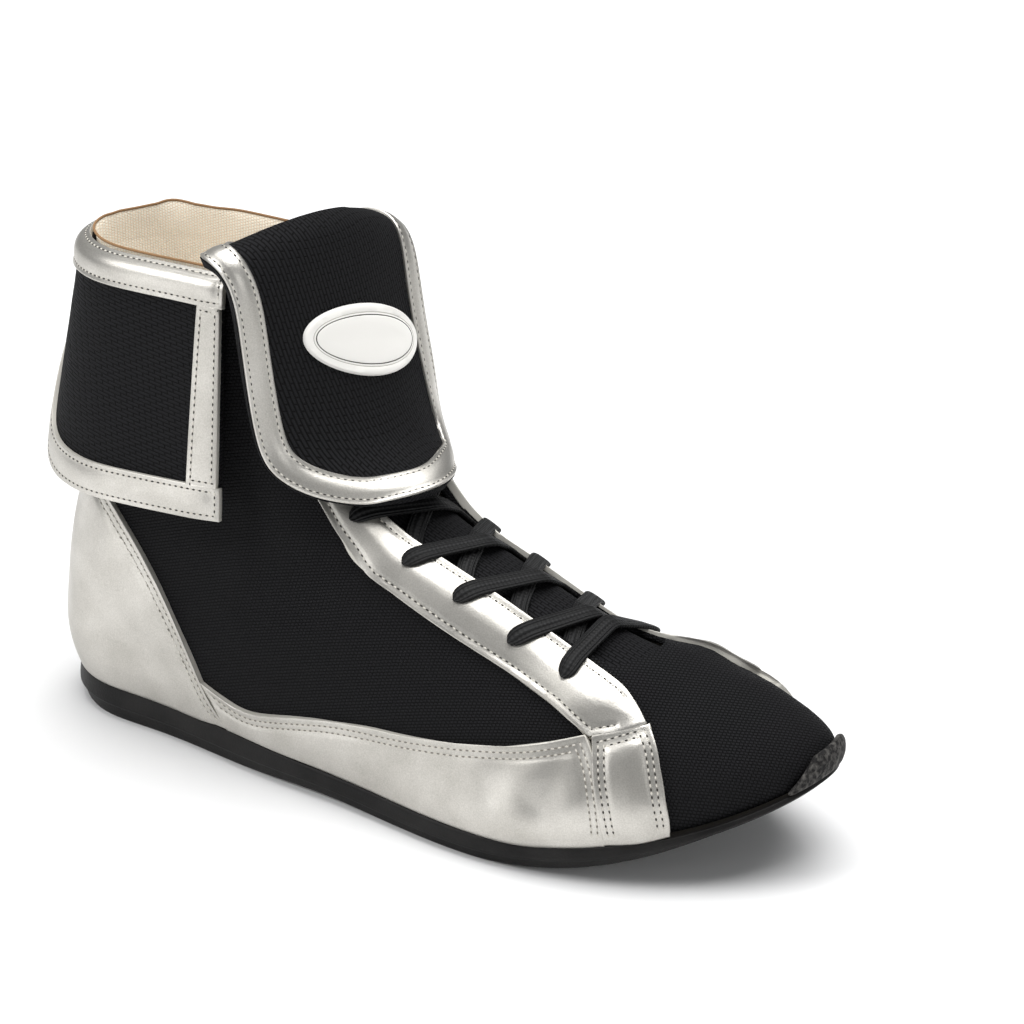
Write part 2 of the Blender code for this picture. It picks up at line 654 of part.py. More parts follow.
def make_strand(name, start, end, lift, cord):
    """A flat strand over the throat, between two places given as x and signed half width."""
    points, normals = [], []
    for share in np.linspace(0, 1, LACE_STATIONS):
        x, across = np.array(start) + (np.array(end) - np.array(start)) * share
        side = OUTER if across < 0 else INNER
        turn, ring = on_top(x, max(abs(across), LACE_RIDGE_HALF), side)
        held = LACE_END_LIFT + (LACE_LIFT - LACE_END_LIFT) * math.sin(math.pi * share)
        points.append(grown_point(last_point, turn, ring, held + lift))
        normals.append(points[-1] - last_point(turn, ring))
    grid = []
    for index, point in enumerate(points):
        along = points[min(index + 1, len(points) - 1)] - points[max(index - 1, 0)]
        across = np.cross(normals[index], along)
        across *= LACE_WIDTH / 2 / np.linalg.norm(across)
        grid.append([point + across, point - across])
    return sheet(name, grid, cord, LACE_THICK, offset=1)


def make_laces(cord):
    holes = LACE_ROWS
    make_strand("lace_bar", (holes[0], -LACE_HOLE_HALF), (holes[0], LACE_HOLE_HALF), 0.0, cord)
    for index, (low, high) in enumerate(zip(holes, holes[1:]), start=1):
        start, end = (low - LACE_WIDTH, LACE_EDGE_HALF), (high, LACE_HOLE_HALF)
        mirror = np.array([1, -1])
        first = make_strand(f"lace_cross_{index}", start * mirror, end, 0.0, cord)
        second = make_strand(f"lace_strand_{index}", start, end * mirror, LACE_THICK / 2, cord)
        second.hide_render = True
        second.display_type = "WIRE"
        join = first.modifiers.new("join", "BOOLEAN")
        join.operation = "UNION"
        join.solver = "EXACT"
        join.object = second


def main():
    clear_scene()
    mesh_cloth = material("black_mesh", (0.012, 0.012, 0.013), 0.85)
    silver = material("silver_leather", (0.72, 0.70, 0.66), 0.35, 0.6)
    rubber = material("black_rubber", (0.015, 0.015, 0.015), 0.6)
    lining = material("beige_mesh", (0.72, 0.61, 0.45), 0.8)
    white = material("white_badge", (0.85, 0.85, 0.83), 0.4)
    cord = material("black_lace", (0.012, 0.012, 0.012), 0.8)
    make_sole(rubber)
    make_toe_guard(rubber)
    make_upper(mesh_cloth)
    make_insole(lining)
    make_counter(silver)
    for name, side in (("lateral", OUTER), ("medial", INNER)):
        make_mudguard(f"mudguard_{name}", side, silver)
        make_vamp_strap(f"vamp_strap_{name}", side, silver)
        make_eyestay(f"eyestay_{name}", side, silver)
    make_cuff(mesh_cloth)
    make_cuff_bands(silver)
    make_tongue(mesh_cloth)
    make_binding(silver)
    make_badge(white)
    make_laces(cord)


main()
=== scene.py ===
import math

import bmesh
import bpy
import numpy as np
from mathutils import Matrix, Vector
from mathutils.bvhtree import BVHTree
from mathutils.kdtree import KDTree


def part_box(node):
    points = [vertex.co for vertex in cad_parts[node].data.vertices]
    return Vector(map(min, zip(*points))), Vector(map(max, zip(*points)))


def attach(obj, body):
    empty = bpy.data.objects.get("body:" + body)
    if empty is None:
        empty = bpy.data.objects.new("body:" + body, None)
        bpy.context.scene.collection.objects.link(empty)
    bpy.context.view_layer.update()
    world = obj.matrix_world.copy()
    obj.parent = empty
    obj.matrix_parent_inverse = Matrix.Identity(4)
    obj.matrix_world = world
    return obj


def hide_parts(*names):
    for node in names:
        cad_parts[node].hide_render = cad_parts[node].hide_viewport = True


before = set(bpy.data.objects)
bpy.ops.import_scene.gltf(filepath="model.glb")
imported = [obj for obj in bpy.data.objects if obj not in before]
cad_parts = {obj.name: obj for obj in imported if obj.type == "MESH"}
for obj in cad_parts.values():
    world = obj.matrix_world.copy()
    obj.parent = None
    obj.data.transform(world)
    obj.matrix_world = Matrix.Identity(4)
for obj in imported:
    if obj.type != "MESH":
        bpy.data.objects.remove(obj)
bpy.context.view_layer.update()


# Outsole: one moulded black rubber unit, cemented below the upper's lasted edge.
# Its side has two tiers with a proud lip between them, and its lower face is tacky gum with fine ribs.
MM = 0.001
MERGE = 0.02 * MM
SOLE_SHARP = math.radians(32)
RUBBER_BLACK, RUBBER_WORN = "0c0b0b", "1f1e1d"
RUBBER_GRIT_MM, RUBBER_GRIT_HEIGHT_MM, RUBBER_BLOOM_MM = 0.7, 0.15, 22.0
TREAD_RIB_MM, TREAD_RIB_SHARE = 3.2, 3.0
# Length over which a diagonal wave texture repeats at a scale of 1.
WAVE_LENGTH = math.tau / (10 * math.sqrt(2))


def srgb(hex_colour):
    """An sRGB hex colour as a linear colour with full alpha."""
    parts = [int(hex_colour[place:place + 2], 16) / 255 for place in (0, 2, 4)]
    return (*[part / 12.92 if part <= 0.04045 else ((part + 0.055) / 1.055) ** 2.4 for part in parts], 1)


def add(tree, kind, settings=None, inputs=None):
    """Add a shader node with its settings, and with its inputs as values or as the sockets that feed them."""
    node = tree.nodes.new("ShaderNode" + kind)
    for name, value in (settings or {}).items():
        setattr(node, name, value)
    for name, value in (inputs or {}).items():
        if isinstance(value, bpy.types.NodeSocket):
            tree.links.new(value, node.inputs[name])
        else:
            node.inputs[name].default_value = value
    return node


def start_material(name, roughness, metallic=0.0):
    """A named material with its node tree, its shader and its object coordinates."""
    made = bpy.data.materials.new(name)
    made.use_nodes = True
    tree = made.node_tree
    shader = tree.nodes["Principled BSDF"]
    shader.inputs["Roughness"].default_value = roughness
    shader.inputs["Metallic"].default_value = metallic
    return made, tree, shader, add(tree, "TexCoord").outputs["Object"]


def cad_copy(node):
    """A merged copy of a node's mesh, with its triangles paired into four-sided faces."""
    bm = bmesh.new()
    bm.from_mesh(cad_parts[node].data)
    bmesh.ops.remove_doubles(bm, verts=bm.verts, dist=MERGE)
    bmesh.ops.join_triangles(bm, faces=bm.faces, angle_face_threshold=math.radians(50),
                             angle_shape_threshold=math.radians(60))
    return bm


def refined(bm, levels, sharp):
    """The bmesh subdivided smoothly, with the edges sharper than an angle held."""
    crease = bm.edges.layers.float.new("crease_edge")
    for edge in bm.edges:
        if edge.calc_face_angle(0.0) > sharp:
            edge[crease] = 1.0
    mesh = bpy.data.meshes.new("refining")
    bm.to_mesh(mesh)
    bm.free()
    holder = bpy.data.objects.new("refining", mesh)
    bpy.context.scene.collection.objects.link(holder)
    smooth = holder.modifiers.new("smooth", "SUBSURF")
    smooth.levels = smooth.render_levels = levels
    dense = bmesh.new()
    dense.from_object(holder, bpy.context.evaluated_depsgraph_get())
    bpy.data.objects.remove(holder)
    bpy.data.meshes.remove(mesh)
    dense.normal_update()
    return dense


def piece(name, bm, materials, slot, *nodes):
    """Make a bmesh a smooth piece of the shoe that stands for CAD nodes."""
    mesh = bpy.data.meshes.new(name)
    bm.to_mesh(mesh)
    bm.free()
    for material in materials:
        mesh.materials.append(material)
    mesh.shade_smooth()
    mesh.set_sharp_from_angle(angle=math.radians(45))
    made = bpy.data.objects.new(name, mesh)
    bpy.context.scene.collection.objects.link(made)
    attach(made, "root")
    if nodes:
        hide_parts(*nodes)


def moulded_rubber(name, dark, bloom_and_highlight, roughness, patch_mm, grit_mm, grit_height_mm, ribbed):
    """Moulded black rubber: matt with fine grit, tread ribs, and paler patches (bloom; painted highlight on the
    guard).
    """
    made, tree, shader, place = start_material(name, roughness)
    # Paler patches: bloom on the sole; on the toe guard the noise matches the grit, painting highlight on the
    # pebbles.
    bloom = add(tree, "TexNoise", None, {"Vector": place, "Scale": 1 / (patch_mm * MM), "Detail": 4})
    shade = add(tree, "MapRange", None, {0: bloom.outputs["Fac"], 1: 0.42, 2: 0.72, 3: 0.0, 4: 1.0})
    colour = add(tree, "Mix", {"data_type": "RGBA"},
                 {"Factor": shade.outputs[0], "A": srgb(dark), "B": srgb(bloom_and_highlight)})
    tree.links.new(colour.outputs["Result"], shader.inputs["Base Color"])
    grit = add(tree, "TexNoise", None, {"Vector": place, "Scale": 1 / (grit_mm * MM), "Detail": 3})
    height = grit.outputs["Fac"]
    if ribbed:
        wave = add(tree, "TexWave", {"bands_direction": "DIAGONAL"},
                   {"Vector": place, "Scale": WAVE_LENGTH / (TREAD_RIB_MM * MM), "Distortion": 0.0})
        facing = add(tree, "NewGeometry")
        down = add(tree, "VectorMath", {"operation": "DOT_PRODUCT"},
                   {0: facing.outputs["Normal"], 1: (0, 0, -1)})
        under = add(tree, "Math", {"operation": "GREATER_THAN"}, {0: down.outputs["Value"], 1: 0.8})
        ribs = add(tree, "Math", {"operation": "MULTIPLY"}, {0: wave.outputs["Fac"], 1: under.outputs[0]})
        ribbing = add(tree, "Math", {"operation": "MULTIPLY_ADD"},
                      {0: ribs.outputs[0], 1: TREAD_RIB_SHARE, 2: height})
        height = ribbing.outputs[0]
    bump = add(tree, "Bump", None, {"Height": height, "Strength": 0.8, "Distance": grit_height_mm * MM})
    tree.links.new(bump.outputs["Normal"], shader.inputs["Normal"])
    shader.inputs["Specular IOR Level"].default_value = 0.2
    return made


sole_rubber = moulded_rubber("sole_rubber", RUBBER_BLACK, RUBBER_WORN, 0.5, RUBBER_BLOOM_MM, RUBBER_GRIT_MM,
                             RUBBER_GRIT_HEIGHT_MM, True)
piece("outsole", refined(cad_copy("sole"), 2, SOLE_SHARP), [sole_rubber], "black_rubber", "sole")


# Insole: a thin foam footbed faced with beige mesh, laid loose on the sole inside the upper.
# The collar hides nearly all of it.
LINING_BEIGE, LINING_SHADE = "f8efe0", "e6d8bf"
LINING_DASH_MM, LINING_RIB_MM = 1.0, 0.9
LINING_ALONG, LINING_UP = (0.1, 0.1, 1.0), (0.8, 0.6, 0.0)
# Painted light: the beige mesh glows a little in its own colour, so the lining looks lit inside the collar.
LINING_PAINTED_GLOW = 0.18
# Gap between dashes of yarn, as a share of a row, and height of the yarn.
YARN_GAP, YARN_HEIGHT_MM = 0.3, 0.3
SHEET_SHARP = math.radians(48)


def knit(name, ground, yarn, roughness, along, up, dash_mm, rib_mm):
    """Polyester knit: raised dashes of yarn in staggered rows, over a darker ground."""
    made, tree, shader, place = start_material(name, roughness)
    across = add(tree, "VectorMath", {"operation": "DOT_PRODUCT"}, {0: place, 1: along})
    rise = add(tree, "VectorMath", {"operation": "DOT_PRODUCT"}, {0: place, 1: up})
    spot = add(tree, "CombineXYZ", None, {"X": across.outputs["Value"], "Y": rise.outputs["Value"]})
    dashes = add(tree, "TexBrick", {"offset": 0.5, "squash": 1.0},
                 {"Vector": spot.outputs[0], "Scale": 1.0, "Brick Width": dash_mm * MM,
                  "Row Height": rib_mm * MM, "Mortar Size": YARN_GAP * rib_mm * MM, "Mortar Smooth": 1.0})
    gap = dashes.outputs["Fac"]
    colour = add(tree, "Mix", {"data_type": "RGBA"}, {"Factor": gap, "A": srgb(yarn), "B": srgb(ground)})
    tree.links.new(colour.outputs["Result"], shader.inputs["Base Color"])
    height = add(tree, "Math", {"operation": "SUBTRACT"}, {0: 1.0, 1: gap})
    bump = add(tree, "Bump", None, {"Height": height.outputs[0], "Strength": 0.8,
                                    "Distance": YARN_HEIGHT_MM * MM})
    tree.links.new(bump.outputs["Normal"], shader.inputs["Normal"])
    shader.inputs["Specular IOR Level"].default_value = 0.12
    return made


beige_lining = knit("beige_lining", LINING_SHADE, LINING_BEIGE, 0.85, LINING_ALONG, LINING_UP, LINING_DASH_MM,
                    LINING_RIB_MM)
lining_shader = beige_lining.node_tree.nodes["Principled BSDF"]
# Painted light: the lining glows though it is no lamp.
lining_shader.inputs["Emission Color"].default_value = srgb(LINING_BEIGE)
lining_shader.inputs["Emission Strength"].default_value = LINING_PAINTED_GLOW
piece("insole_bed", refined(cad_copy("insole"), 2, SHEET_SHARP), [beige_lining], "beige_mesh", "insole")


# Upper: one lasted wall of black spacer mesh, lined with beige mesh, open at the throat and the collar.
# It is soft, so it dents a little where the foot bends, and its knit runs in fine staggered ribs.
MESH_BLACK, MESH_GREY, MESH_ROUGHNESS = "020202", "1b1b1d", 0.78
RIB_MM, DASH_MM = 0.95, 1.25
MESH_ALONG, MESH_UP = (0.80, 0.55, 0.25), (-0.25, 0.55, 0.80)
# The lining shows behind this place along the shoe.
LINED_TO = 62 * MM
# Middle line of the foot and the leg, in metres.
CORE = ((0.205, 0.006, 0.028), (0.060, 0.0, 0.045), (0.022, 0.0, 0.100), (0.020, 0.0, 0.200))
# How far the throat's inner edge sinks, and where this starts and stops along, across and up the shoe, in mm.
SETTLE = (0.0, -5.0, -4.5)
SETTLE_ALONG, SETTLE_ACROSS, SETTLE_UP = (60, 100, 165, 200), (4, 24), (30, 52, 86, 99)
# Ridges beside a fold: height as a share of its depth, and distance from it in its half breadths.
RIDGE_SHARE, RIDGE_PLACE = 0.45, 1.9
# Soft folds: start and end in mm, half breadth and depth. The foot bends over the ball and at the ankle.
FOLDS = (
    ((172, -46, 26), (186, -28, 50), 6.0, 0.9),
    ((158, -46, 27), (170, -34, 46), 7.0, 0.7),
    ((183, 50, 28), (196, 32, 50), 6.0, 0.9),
    ((150, -44, 20), (110, -41, 24), 9.0, 0.6),
    ((62, -38, 74), (92, -31, 84), 6.0, 1.0),
    ((56, -36, 62), (84, -36, 66), 6.0, 0.7),
    ((62, 38, 74), (92, 31, 84), 6.0, 1.0),
    ((198, -20, 52), (206, 24, 52), 6.0, 0.8),
    ((-34, -10, 60), (-30, -22, 44), 9.0, 0.9),
    ((-12, -33, 40), (22, -38, 30), 9.0, 0.7),
    ((-12, 33, 44), (22, 36, 32), 9.0, 0.7),
)


def outward(points):
    """Directions away from the middle of the foot and leg, for an array of points."""
    best = np.full(len(points), np.inf)
    away = np.zeros_like(points)
    for start, end in zip(CORE, CORE[1:]):
        start, end = np.array(start), np.array(end)
        run = end - start
        share = np.clip((points - start) @ run / (run @ run), 0, 1)
        step = points - (start + share[:, None] * run)
        far = np.linalg.norm(step, axis=1)
        nearer = far < best
        best[nearer] = far[nearer]
        away[nearer] = step[nearer]
    return away / np.linalg.norm(away, axis=1)[:, None]


def ease(start, end, value):
    """A smooth step from nought to one between two values."""
    share = np.clip((value - start) / (end - start), 0, 1)
    return share * share * (3 - 2 * share)


def settle(bm):
    """Let the throat's inner edge sink on the tongue, as soft leather does under a tight lace."""
    x, y, z = np.array([vert.co for vert in bm.verts]).T / MM
    along = ease(*SETTLE_ALONG[:2], x) * (1 - ease(*SETTLE_ALONG[2:], x))
    up = ease(*SETTLE_UP[:2], z) * (1 - ease(*SETTLE_UP[2:], z))
    for vert, weight in zip(bm.verts, along * ease(*SETTLE_ACROSS, y) * up):
        vert.co += Vector(SETTLE) * float(weight) * MM
    bm.normal_update()


def press_folds(bm):
    """Press the soft folds into a piece, as troughs with low ridges on both sides."""
    points = np.array([vert.co for vert in bm.verts])
    normals = np.array([vert.normal for vert in bm.verts])
    normals *= np.sign(np.sum(normals * outward(points), axis=1))[:, None]
    moved = np.zeros(len(points))
    for start, end, breadth, depth in FOLDS:
        start, end = np.array(start) * MM, np.array(end) * MM
        run = end - start
        share = np.clip((points - start) @ run / (run @ run), 0, 1)
        far = np.linalg.norm(points - (start + share[:, None] * run), axis=1) / (breadth * MM)
        moved += depth * MM * (RIDGE_SHARE * np.exp(-(far - RIDGE_PLACE) ** 2) - np.exp(-far ** 2))
    for vert, move, normal in zip(bm.verts, moved, normals):
        vert.co += Vector(normal * move)
    bm.normal_update()


def smooth_patches(bm, sharp):
    """Lists of faces that meet without a sharp edge, the largest first."""
    seen, patches = set(), []
    for first in bm.faces:
        if first in seen:
            continue
        seen.add(first)
        patch = [first]
        for face in patch:
            for edge in face.edges:
                if edge.calc_face_angle(math.pi) < sharp:
                    for other in edge.link_faces:
                        if other not in seen:
                            seen.add(other)
                            patch.append(other)
        patches.append(patch)
    return sorted(patches, key=lambda faces: -sum(face.calc_area() for face in faces))


def border_lines(bm, index):
    """Closed lines of points round the faces that have a material index."""
    after = {}
    for face in bm.faces:
        if face.material_index == index:
            for loop in face.loops:
                if any(other.material_index != index for other in loop.edge.link_faces):
                    after[loop.vert] = loop.link_loop_next.vert
    lines = []
    while after:
        first = vert = min(after, key=lambda found: found.index)
        line = []
        while vert in after:
            line.append(vert.co.copy())
            vert = after.pop(vert)
        lines.append(line)
    return lines


side_mesh = knit("side_mesh", MESH_BLACK, MESH_GREY, MESH_ROUGHNESS, MESH_ALONG, MESH_UP, DASH_MM, RIB_MM)
upper_bm = cad_copy("upper")
for index, patch in enumerate(smooth_patches(upper_bm, SHEET_SHARP)):
    for face in patch:
        face.material_index = 1 if index == 1 else 0
upper_bm = refined(upper_bm, 2, SHEET_SHARP)
settle(upper_bm)
press_folds(upper_bm)
collar_line = max(border_lines(upper_bm, 1), key=lambda line: max(point.z for point in line))
for face in upper_bm.faces:
    if face.calc_center_median().x > LINED_TO:
        face.material_index = 0
piece("mesh_upper", upper_bm, [side_mesh, beige_lining], "black_mesh", "upper")


# Toe guard: a rough rubber cup, moulded on over the tip of the toe and the sole's front edge.
# Its face is pebbled, with paler grey painted on the pebbles as painted highlight, and its rim is rounded.
GUARD_DARK, GUARD_PAINTED_HIGHLIGHT = "191818", "5a5855"
GUARD_GRIT_MM, GUARD_GRIT_HEIGHT_MM = 1.5, 1.6
guard_rubber = moulded_rubber("guard_rubber", GUARD_DARK, GUARD_PAINTED_HIGHLIGHT, 0.7, GUARD_GRIT_MM, GUARD_GRIT_MM,
                              GUARD_GRIT_HEIGHT_MM, False)
piece("toe_cup", refined(cad_copy("toe_guard"), 3, math.pi), [guard_rubber], "black_rubber", "toe_guard")


# Overlays: silver foil leather, cut flat, laid on the mesh and sewn round with light thread in rows.
# Counter, mudguards, vamp straps and eyestays puff a little between their seams.
LEATHER_LIGHT, LEATHER_SHADE, CUT_EDGE = "d0cdc7", "a6a39c", "c4c1b9"
# The needle holes' colours are painted shade: each hole and the shade in it, drawn as a dark mark on the
# leather.
THREAD_LIGHT, NEEDLE_HOLE_SHADE, NEEDLE_SOFT_SHADE = "c6c2b8", "3a3733", "7b776f"
GRAIN_MM, GRAIN_HEIGHT_MM, CLOUD_MM, SPECK_MM = 0.5, 0.06, 18.0, 0.45
# Stitches and the needle holes between them, in mm, and the holes' two finishes: deep or soft painted shade.
STITCH_PITCH, STITCH_LENGTH, STITCH_WIDTH, STITCH_HEIGHT = 2.3, 1.3, 0.72, 0.4
NEEDLE_LENGTH, NEEDLE_HEIGHT = 1.3, 0.2
DARK_HOLE_SHADE, SOFT_HOLE_SHADE = 1, 2
# Step along a seam, the gap that ends a row, both in mm, and the fewest steps in a row.
SEAM_STEP, SEAM_GAP, SEAM_FEWEST = 0.8, 4.0, 7
# A panel's own shape in mm: edge sunk in the mesh, face lifted, outline widened and rim rounded.
EDGE_SINK, FACE_LIFT, WIDEN, EDGE_ROUND = 1.5, -0.5, 0.55, 0.3
# Puff of a panel in mm: height, distance from its last row and breadth. A seam presses it in again.
PUFF, PUFF_START, PUFF_BREADTH = 0.5, 0.5, 6.0
SEAM_DEPTH, SEAM_BREADTH, SEAM_REACH = 0.3, 1.0, 3.0
SOLE_CLEAR, MUDGUARD_REACH, COUNTER_LAP = 3.4, 2.2, 1.6
COUNTER_LIFT, COUNTER_WIDEN, STRAP_WIDEN = 0.1, 1.1, 0.95
# Rows of stitches, as distances from a panel's edge in mm.
COUNTER_ROWS, MUDGUARD_ROWS, STRAP_ROWS, STAY_ROWS = (2.0, 4.2), (2.2, 4.2), (2.0, 3.9), (2.4,)
# Above the first height, where the flap hides and shades them, the stays take the black mesh as painted shade,
# and they are sewn as far as the straps.
STAY_SHADE_FROM, STAY_SEWN_TO = 106 * MM, 190.5 * MM


def foil_leather(name, light, shade, roughness):
    """Leather with a silver foil face: a satin metal film over a fine pebble grain, cloudy in places."""
    made, tree, shader, place = start_material(name, roughness, 0.88)
    cloud = add(tree, "TexNoise", None, {"Vector": place, "Scale": 1 / (CLOUD_MM * MM), "Detail": 3})
    speck = add(tree, "TexNoise", None, {"Vector": place, "Scale": 1 / (SPECK_MM * MM), "Detail": 1})
    tone = add(tree, "Math", {"operation": "MULTIPLY_ADD"},
               {0: speck.outputs["Fac"], 1: 0.9, 2: cloud.outputs["Fac"]})
    shift = add(tree, "Math", {"operation": "SUBTRACT", "use_clamp": True}, {0: tone.outputs[0], 1: 0.45})
    colour = add(tree, "Mix", {"data_type": "RGBA"},
                 {"Factor": shift.outputs[0], "A": srgb(light), "B": srgb(shade)})
    tree.links.new(colour.outputs["Result"], shader.inputs["Base Color"])
    pebble = add(tree, "TexVoronoi", {"feature": "SMOOTH_F1"},
                 {"Vector": place, "Scale": 1 / (GRAIN_MM * MM)})
    fine = add(tree, "TexNoise", None, {"Vector": place, "Scale": 1 / (0.35 * GRAIN_MM * MM), "Detail": 2})
    grain = add(tree, "Math", {"operation": "MULTIPLY_ADD"},
                {0: fine.outputs["Fac"], 1: 0.4, 2: pebble.outputs["Distance"]})
    bump = add(tree, "Bump", None,
               {"Height": grain.outputs[0], "Strength": 0.4, "Distance": GRAIN_HEIGHT_MM * MM})
    tree.links.new(bump.outputs["Normal"], shader.inputs["Normal"])
    dull = add(tree, "MapRange", None,
               {0: cloud.outputs["Fac"], 1: 0.3, 2: 0.7, 3: roughness - 0.04, 4: roughness + 0.08})
    tree.links.new(dull.outputs[0], shader.inputs["Roughness"])
    return made


def plain_finish(name, colour, roughness, metallic=0.0):
    """A small part's finish, such as thread or a cut edge, with a faint fibre bump."""
    made, tree, shader, place = start_material(name, roughness, metallic)
    fibre = add(tree, "TexNoise", None, {"Vector": place, "Scale": 1 / (0.4 * MM), "Detail": 2})
    shader.inputs["Base Color"].default_value = srgb(colour)
    bump = add(tree, "Bump", None, {"Height": fibre.outputs["Fac"], "Strength": 0.3, "Distance": 0.1 * MM})
    tree.links.new(bump.outputs["Normal"], shader.inputs["Normal"])
    return made


silver_leather = foil_leather("silver_leather", LEATHER_LIGHT, LEATHER_SHADE, 0.37)
cut_edge = plain_finish("leather_cut_edge", CUT_EDGE, 0.6, 0.4)
thread_light = plain_finish("light_thread", THREAD_LIGHT, 0.55)
# Needle holes: dark marks of painted shade for the holes and the shade in them.
needle_dark_shade = plain_finish("needle_hole_shade", NEEDLE_HOLE_SHADE, 0.9)
needle_soft_shade = plain_finish("shallow_needle_hole_shade", NEEDLE_SOFT_SHADE, 0.9)
stitch_bm = bmesh.new()
panel_skins = {}


def face_skin(bm, index):
    """A search tree of the faces that have a material index."""
    faces = [[vert.index for vert in face.verts] for face in bm.faces if face.material_index == index]
    return BVHTree.FromPolygons([vert.co for vert in bm.verts], faces)


def join(bm, part):
    """Add a part's mesh to a bmesh."""
    mesh = bpy.data.meshes.new("joining")
    part.to_mesh(mesh)
    part.free()
    bm.from_mesh(mesh)
    bpy.data.meshes.remove(mesh)


def evenly(points, pitch, closed):
    """Points at an even pitch along a line of points, with the direction at each."""
    line = points + points[:1] if closed else points
    lengths = [(second - first).length for first, second in zip(line, line[1:])]
    marks = np.concatenate([[0.0], np.cumsum(lengths)])
    count = max(int(marks[-1] / pitch), 2)
    found = []
    for mark in np.linspace(0, marks[-1], count, endpoint=not closed):
        index = min(int(np.searchsorted(marks, mark, side="right")) - 1, len(lengths) - 1)
        share = (mark - marks[index]) / max(lengths[index], 1e-9)
        found.append((line[index].lerp(line[index + 1], share), (line[index + 1] - line[index]).normalized()))
    return found


def sew(skin, border, inset, keep, finish):
    """Sew a row of stitches on a skin, an inset inside a panel's border, where keep allows it."""
    edge = KDTree(len(border))
    for index, point in enumerate(border):
        edge.insert(point, index)
    edge.balance()
    row = []
    for point, direction in evenly(border, SEAM_STEP * MM, True):
        normal = skin.find_nearest(point)[1]
        place = skin.find_nearest(point + normal.cross(direction) * inset * MM)[0]
        if keep(point) and keep(place) and edge.find(place)[2] > 0.9 * inset * MM:
            row.append(place)
    lines = [[]]
    for place in row:
        if lines[-1] and (place - lines[-1][-1]).length > SEAM_GAP * MM:
            lines.append([])
        lines[-1].append(place)
    for line in lines:
        if len(line) >= SEAM_FEWEST:
            lay_stitches(skin, line, finish)


def lay_stitches(skin, line, finish=DARK_HOLE_SHADE):
    """Lay thread along a line of points on a skin, with a needle hole in painted shade between stitches."""
    row = bmesh.new()
    for place, direction in evenly(line, STITCH_PITCH * MM, False):
        foot, normal = skin.find_nearest(place)[:2]
        aside = normal.cross(direction).normalized()
        turn = Matrix((direction, aside, normal)).transposed().to_4x4()
        for step, length, height, index in ((0.0, STITCH_LENGTH, STITCH_HEIGHT, 0),
                                            (STITCH_PITCH / 2, NEEDLE_LENGTH, NEEDLE_HEIGHT, finish)):
            spot = Matrix.Translation(foot + direction * step * MM)
            size = Matrix.Diagonal((length * MM, STITCH_WIDTH * MM, height * MM, 1))
            made = bmesh.ops.create_uvsphere(row, u_segments=6, v_segments=3, radius=0.5,
                                             matrix=spot @ turn @ size)
            for face in {face for vert in made["verts"] for face in vert.link_faces}:
                face.material_index = index
    join(stitch_bm, row)


def overlay(node, rows, keep, levels=3, puff=PUFF, reach=0.0, finish=DARK_HOLE_SHADE, widen=WIDEN, lift=FACE_LIFT):
    """Dress a leather panel: widen it, sink its edge into the mesh, puff it and sew its rows."""
    bm = cad_copy(node)
    patches = smooth_patches(bm, SHEET_SHARP)[:2]
    middles = np.array([face.calc_center_median() for face in patches[0]])
    facing = np.array([face.normal for face in patches[0]])
    if np.mean(np.sum(facing * outward(middles), axis=1)) < 0:
        patches.reverse()
    for face in bm.faces:
        face.material_index = 2
    for index, (patch, depth) in enumerate(zip(patches, (lift, EDGE_SINK))):
        steps, aside = {}, {}
        for face in patch:
            face.material_index = index
        for face in patch:
            for vert in face.verts:
                steps[vert] = steps.get(vert, Vector()) + face.normal
            for loop in face.loops:
                if any(other.material_index != index for other in loop.edge.link_faces):
                    away = (loop.link_loop_next.vert.co - loop.vert.co).normalized().cross(face.normal)
                    for vert in loop.edge.verts:
                        aside[vert] = aside.get(vert, Vector()) + away
        for vert, step in steps.items():
            vert.co += step.normalized() * depth * MM
        for vert, away in aside.items():
            away.normalize()
            vert.co += away * (widen + reach * max(2 * abs(away.x) - 1, 0)) * MM
    for face in bm.faces:
        face.material_index = min(face.material_index, 1)
    bm = refined(bm, levels, SHEET_SHARP)
    settle(bm)
    press_folds(bm)
    border = border_lines(bm, 0)[0]
    sewn = [point for point in border if keep(point)]
    near = KDTree(len(sewn))
    for index, point in enumerate(sewn):
        near.insert(point, index)
    near.balance()
    for vert in {vert for face in bm.faces if face.material_index == 0 for vert in face.verts}:
        far = near.find(vert.co)[2] / MM
        rise = puff * min(max((far - max(rows) - PUFF_START) / PUFF_BREADTH, 0), 1) ** 0.7
        if far < max(rows) + SEAM_REACH and keep(vert.co):
            rise -= sum(SEAM_DEPTH * math.exp(-((far - inset) / SEAM_BREADTH) ** 2) for inset in rows)
        vert.co += vert.normal * rise * MM
    bm.normal_update()
    skin = panel_skins[node] = face_skin(bm, 0)
    for inset in rows:
        sew(skin, border, inset, keep, finish)
    rim = [edge for edge in bm.edges if len({face.material_index for face in edge.link_faces}) == 2]
    bmesh.ops.bevel(bm, geom=rim, offset=EDGE_ROUND * MM, segments=2, profile=0.5, affect="EDGES",
                    material=-1)
    return bm


def silver_piece(name, node, rows, keep, **shape):
    """Make a panel of silver leather, dressed with the overlay's own settings, a finished piece."""
    piece(name, overlay(node, rows, keep, **shape), [silver_leather, cut_edge], "silver_leather", node)


sole_skin = BVHTree.FromBMesh(cad_copy("sole"))


def clear_of_sole(place):
    """True where a place is far enough above the sole for a seam."""
    return sole_skin.find_nearest(place)[3] > SOLE_CLEAR * MM


def clear_of_counter(place):
    """True where a place on a mudguard is clear of the sole and of the counter that laps over its end."""
    return clear_of_sole(place) and panel_skins["counter"].find_nearest(place)[3] > COUNTER_LAP * MM


def clear_of_strap(place):
    """True where a place on a stay is below its painted shade and behind the fold in which it meets its strap.
    """
    return place.x < STAY_SEWN_TO and place.z < STAY_SHADE_FROM


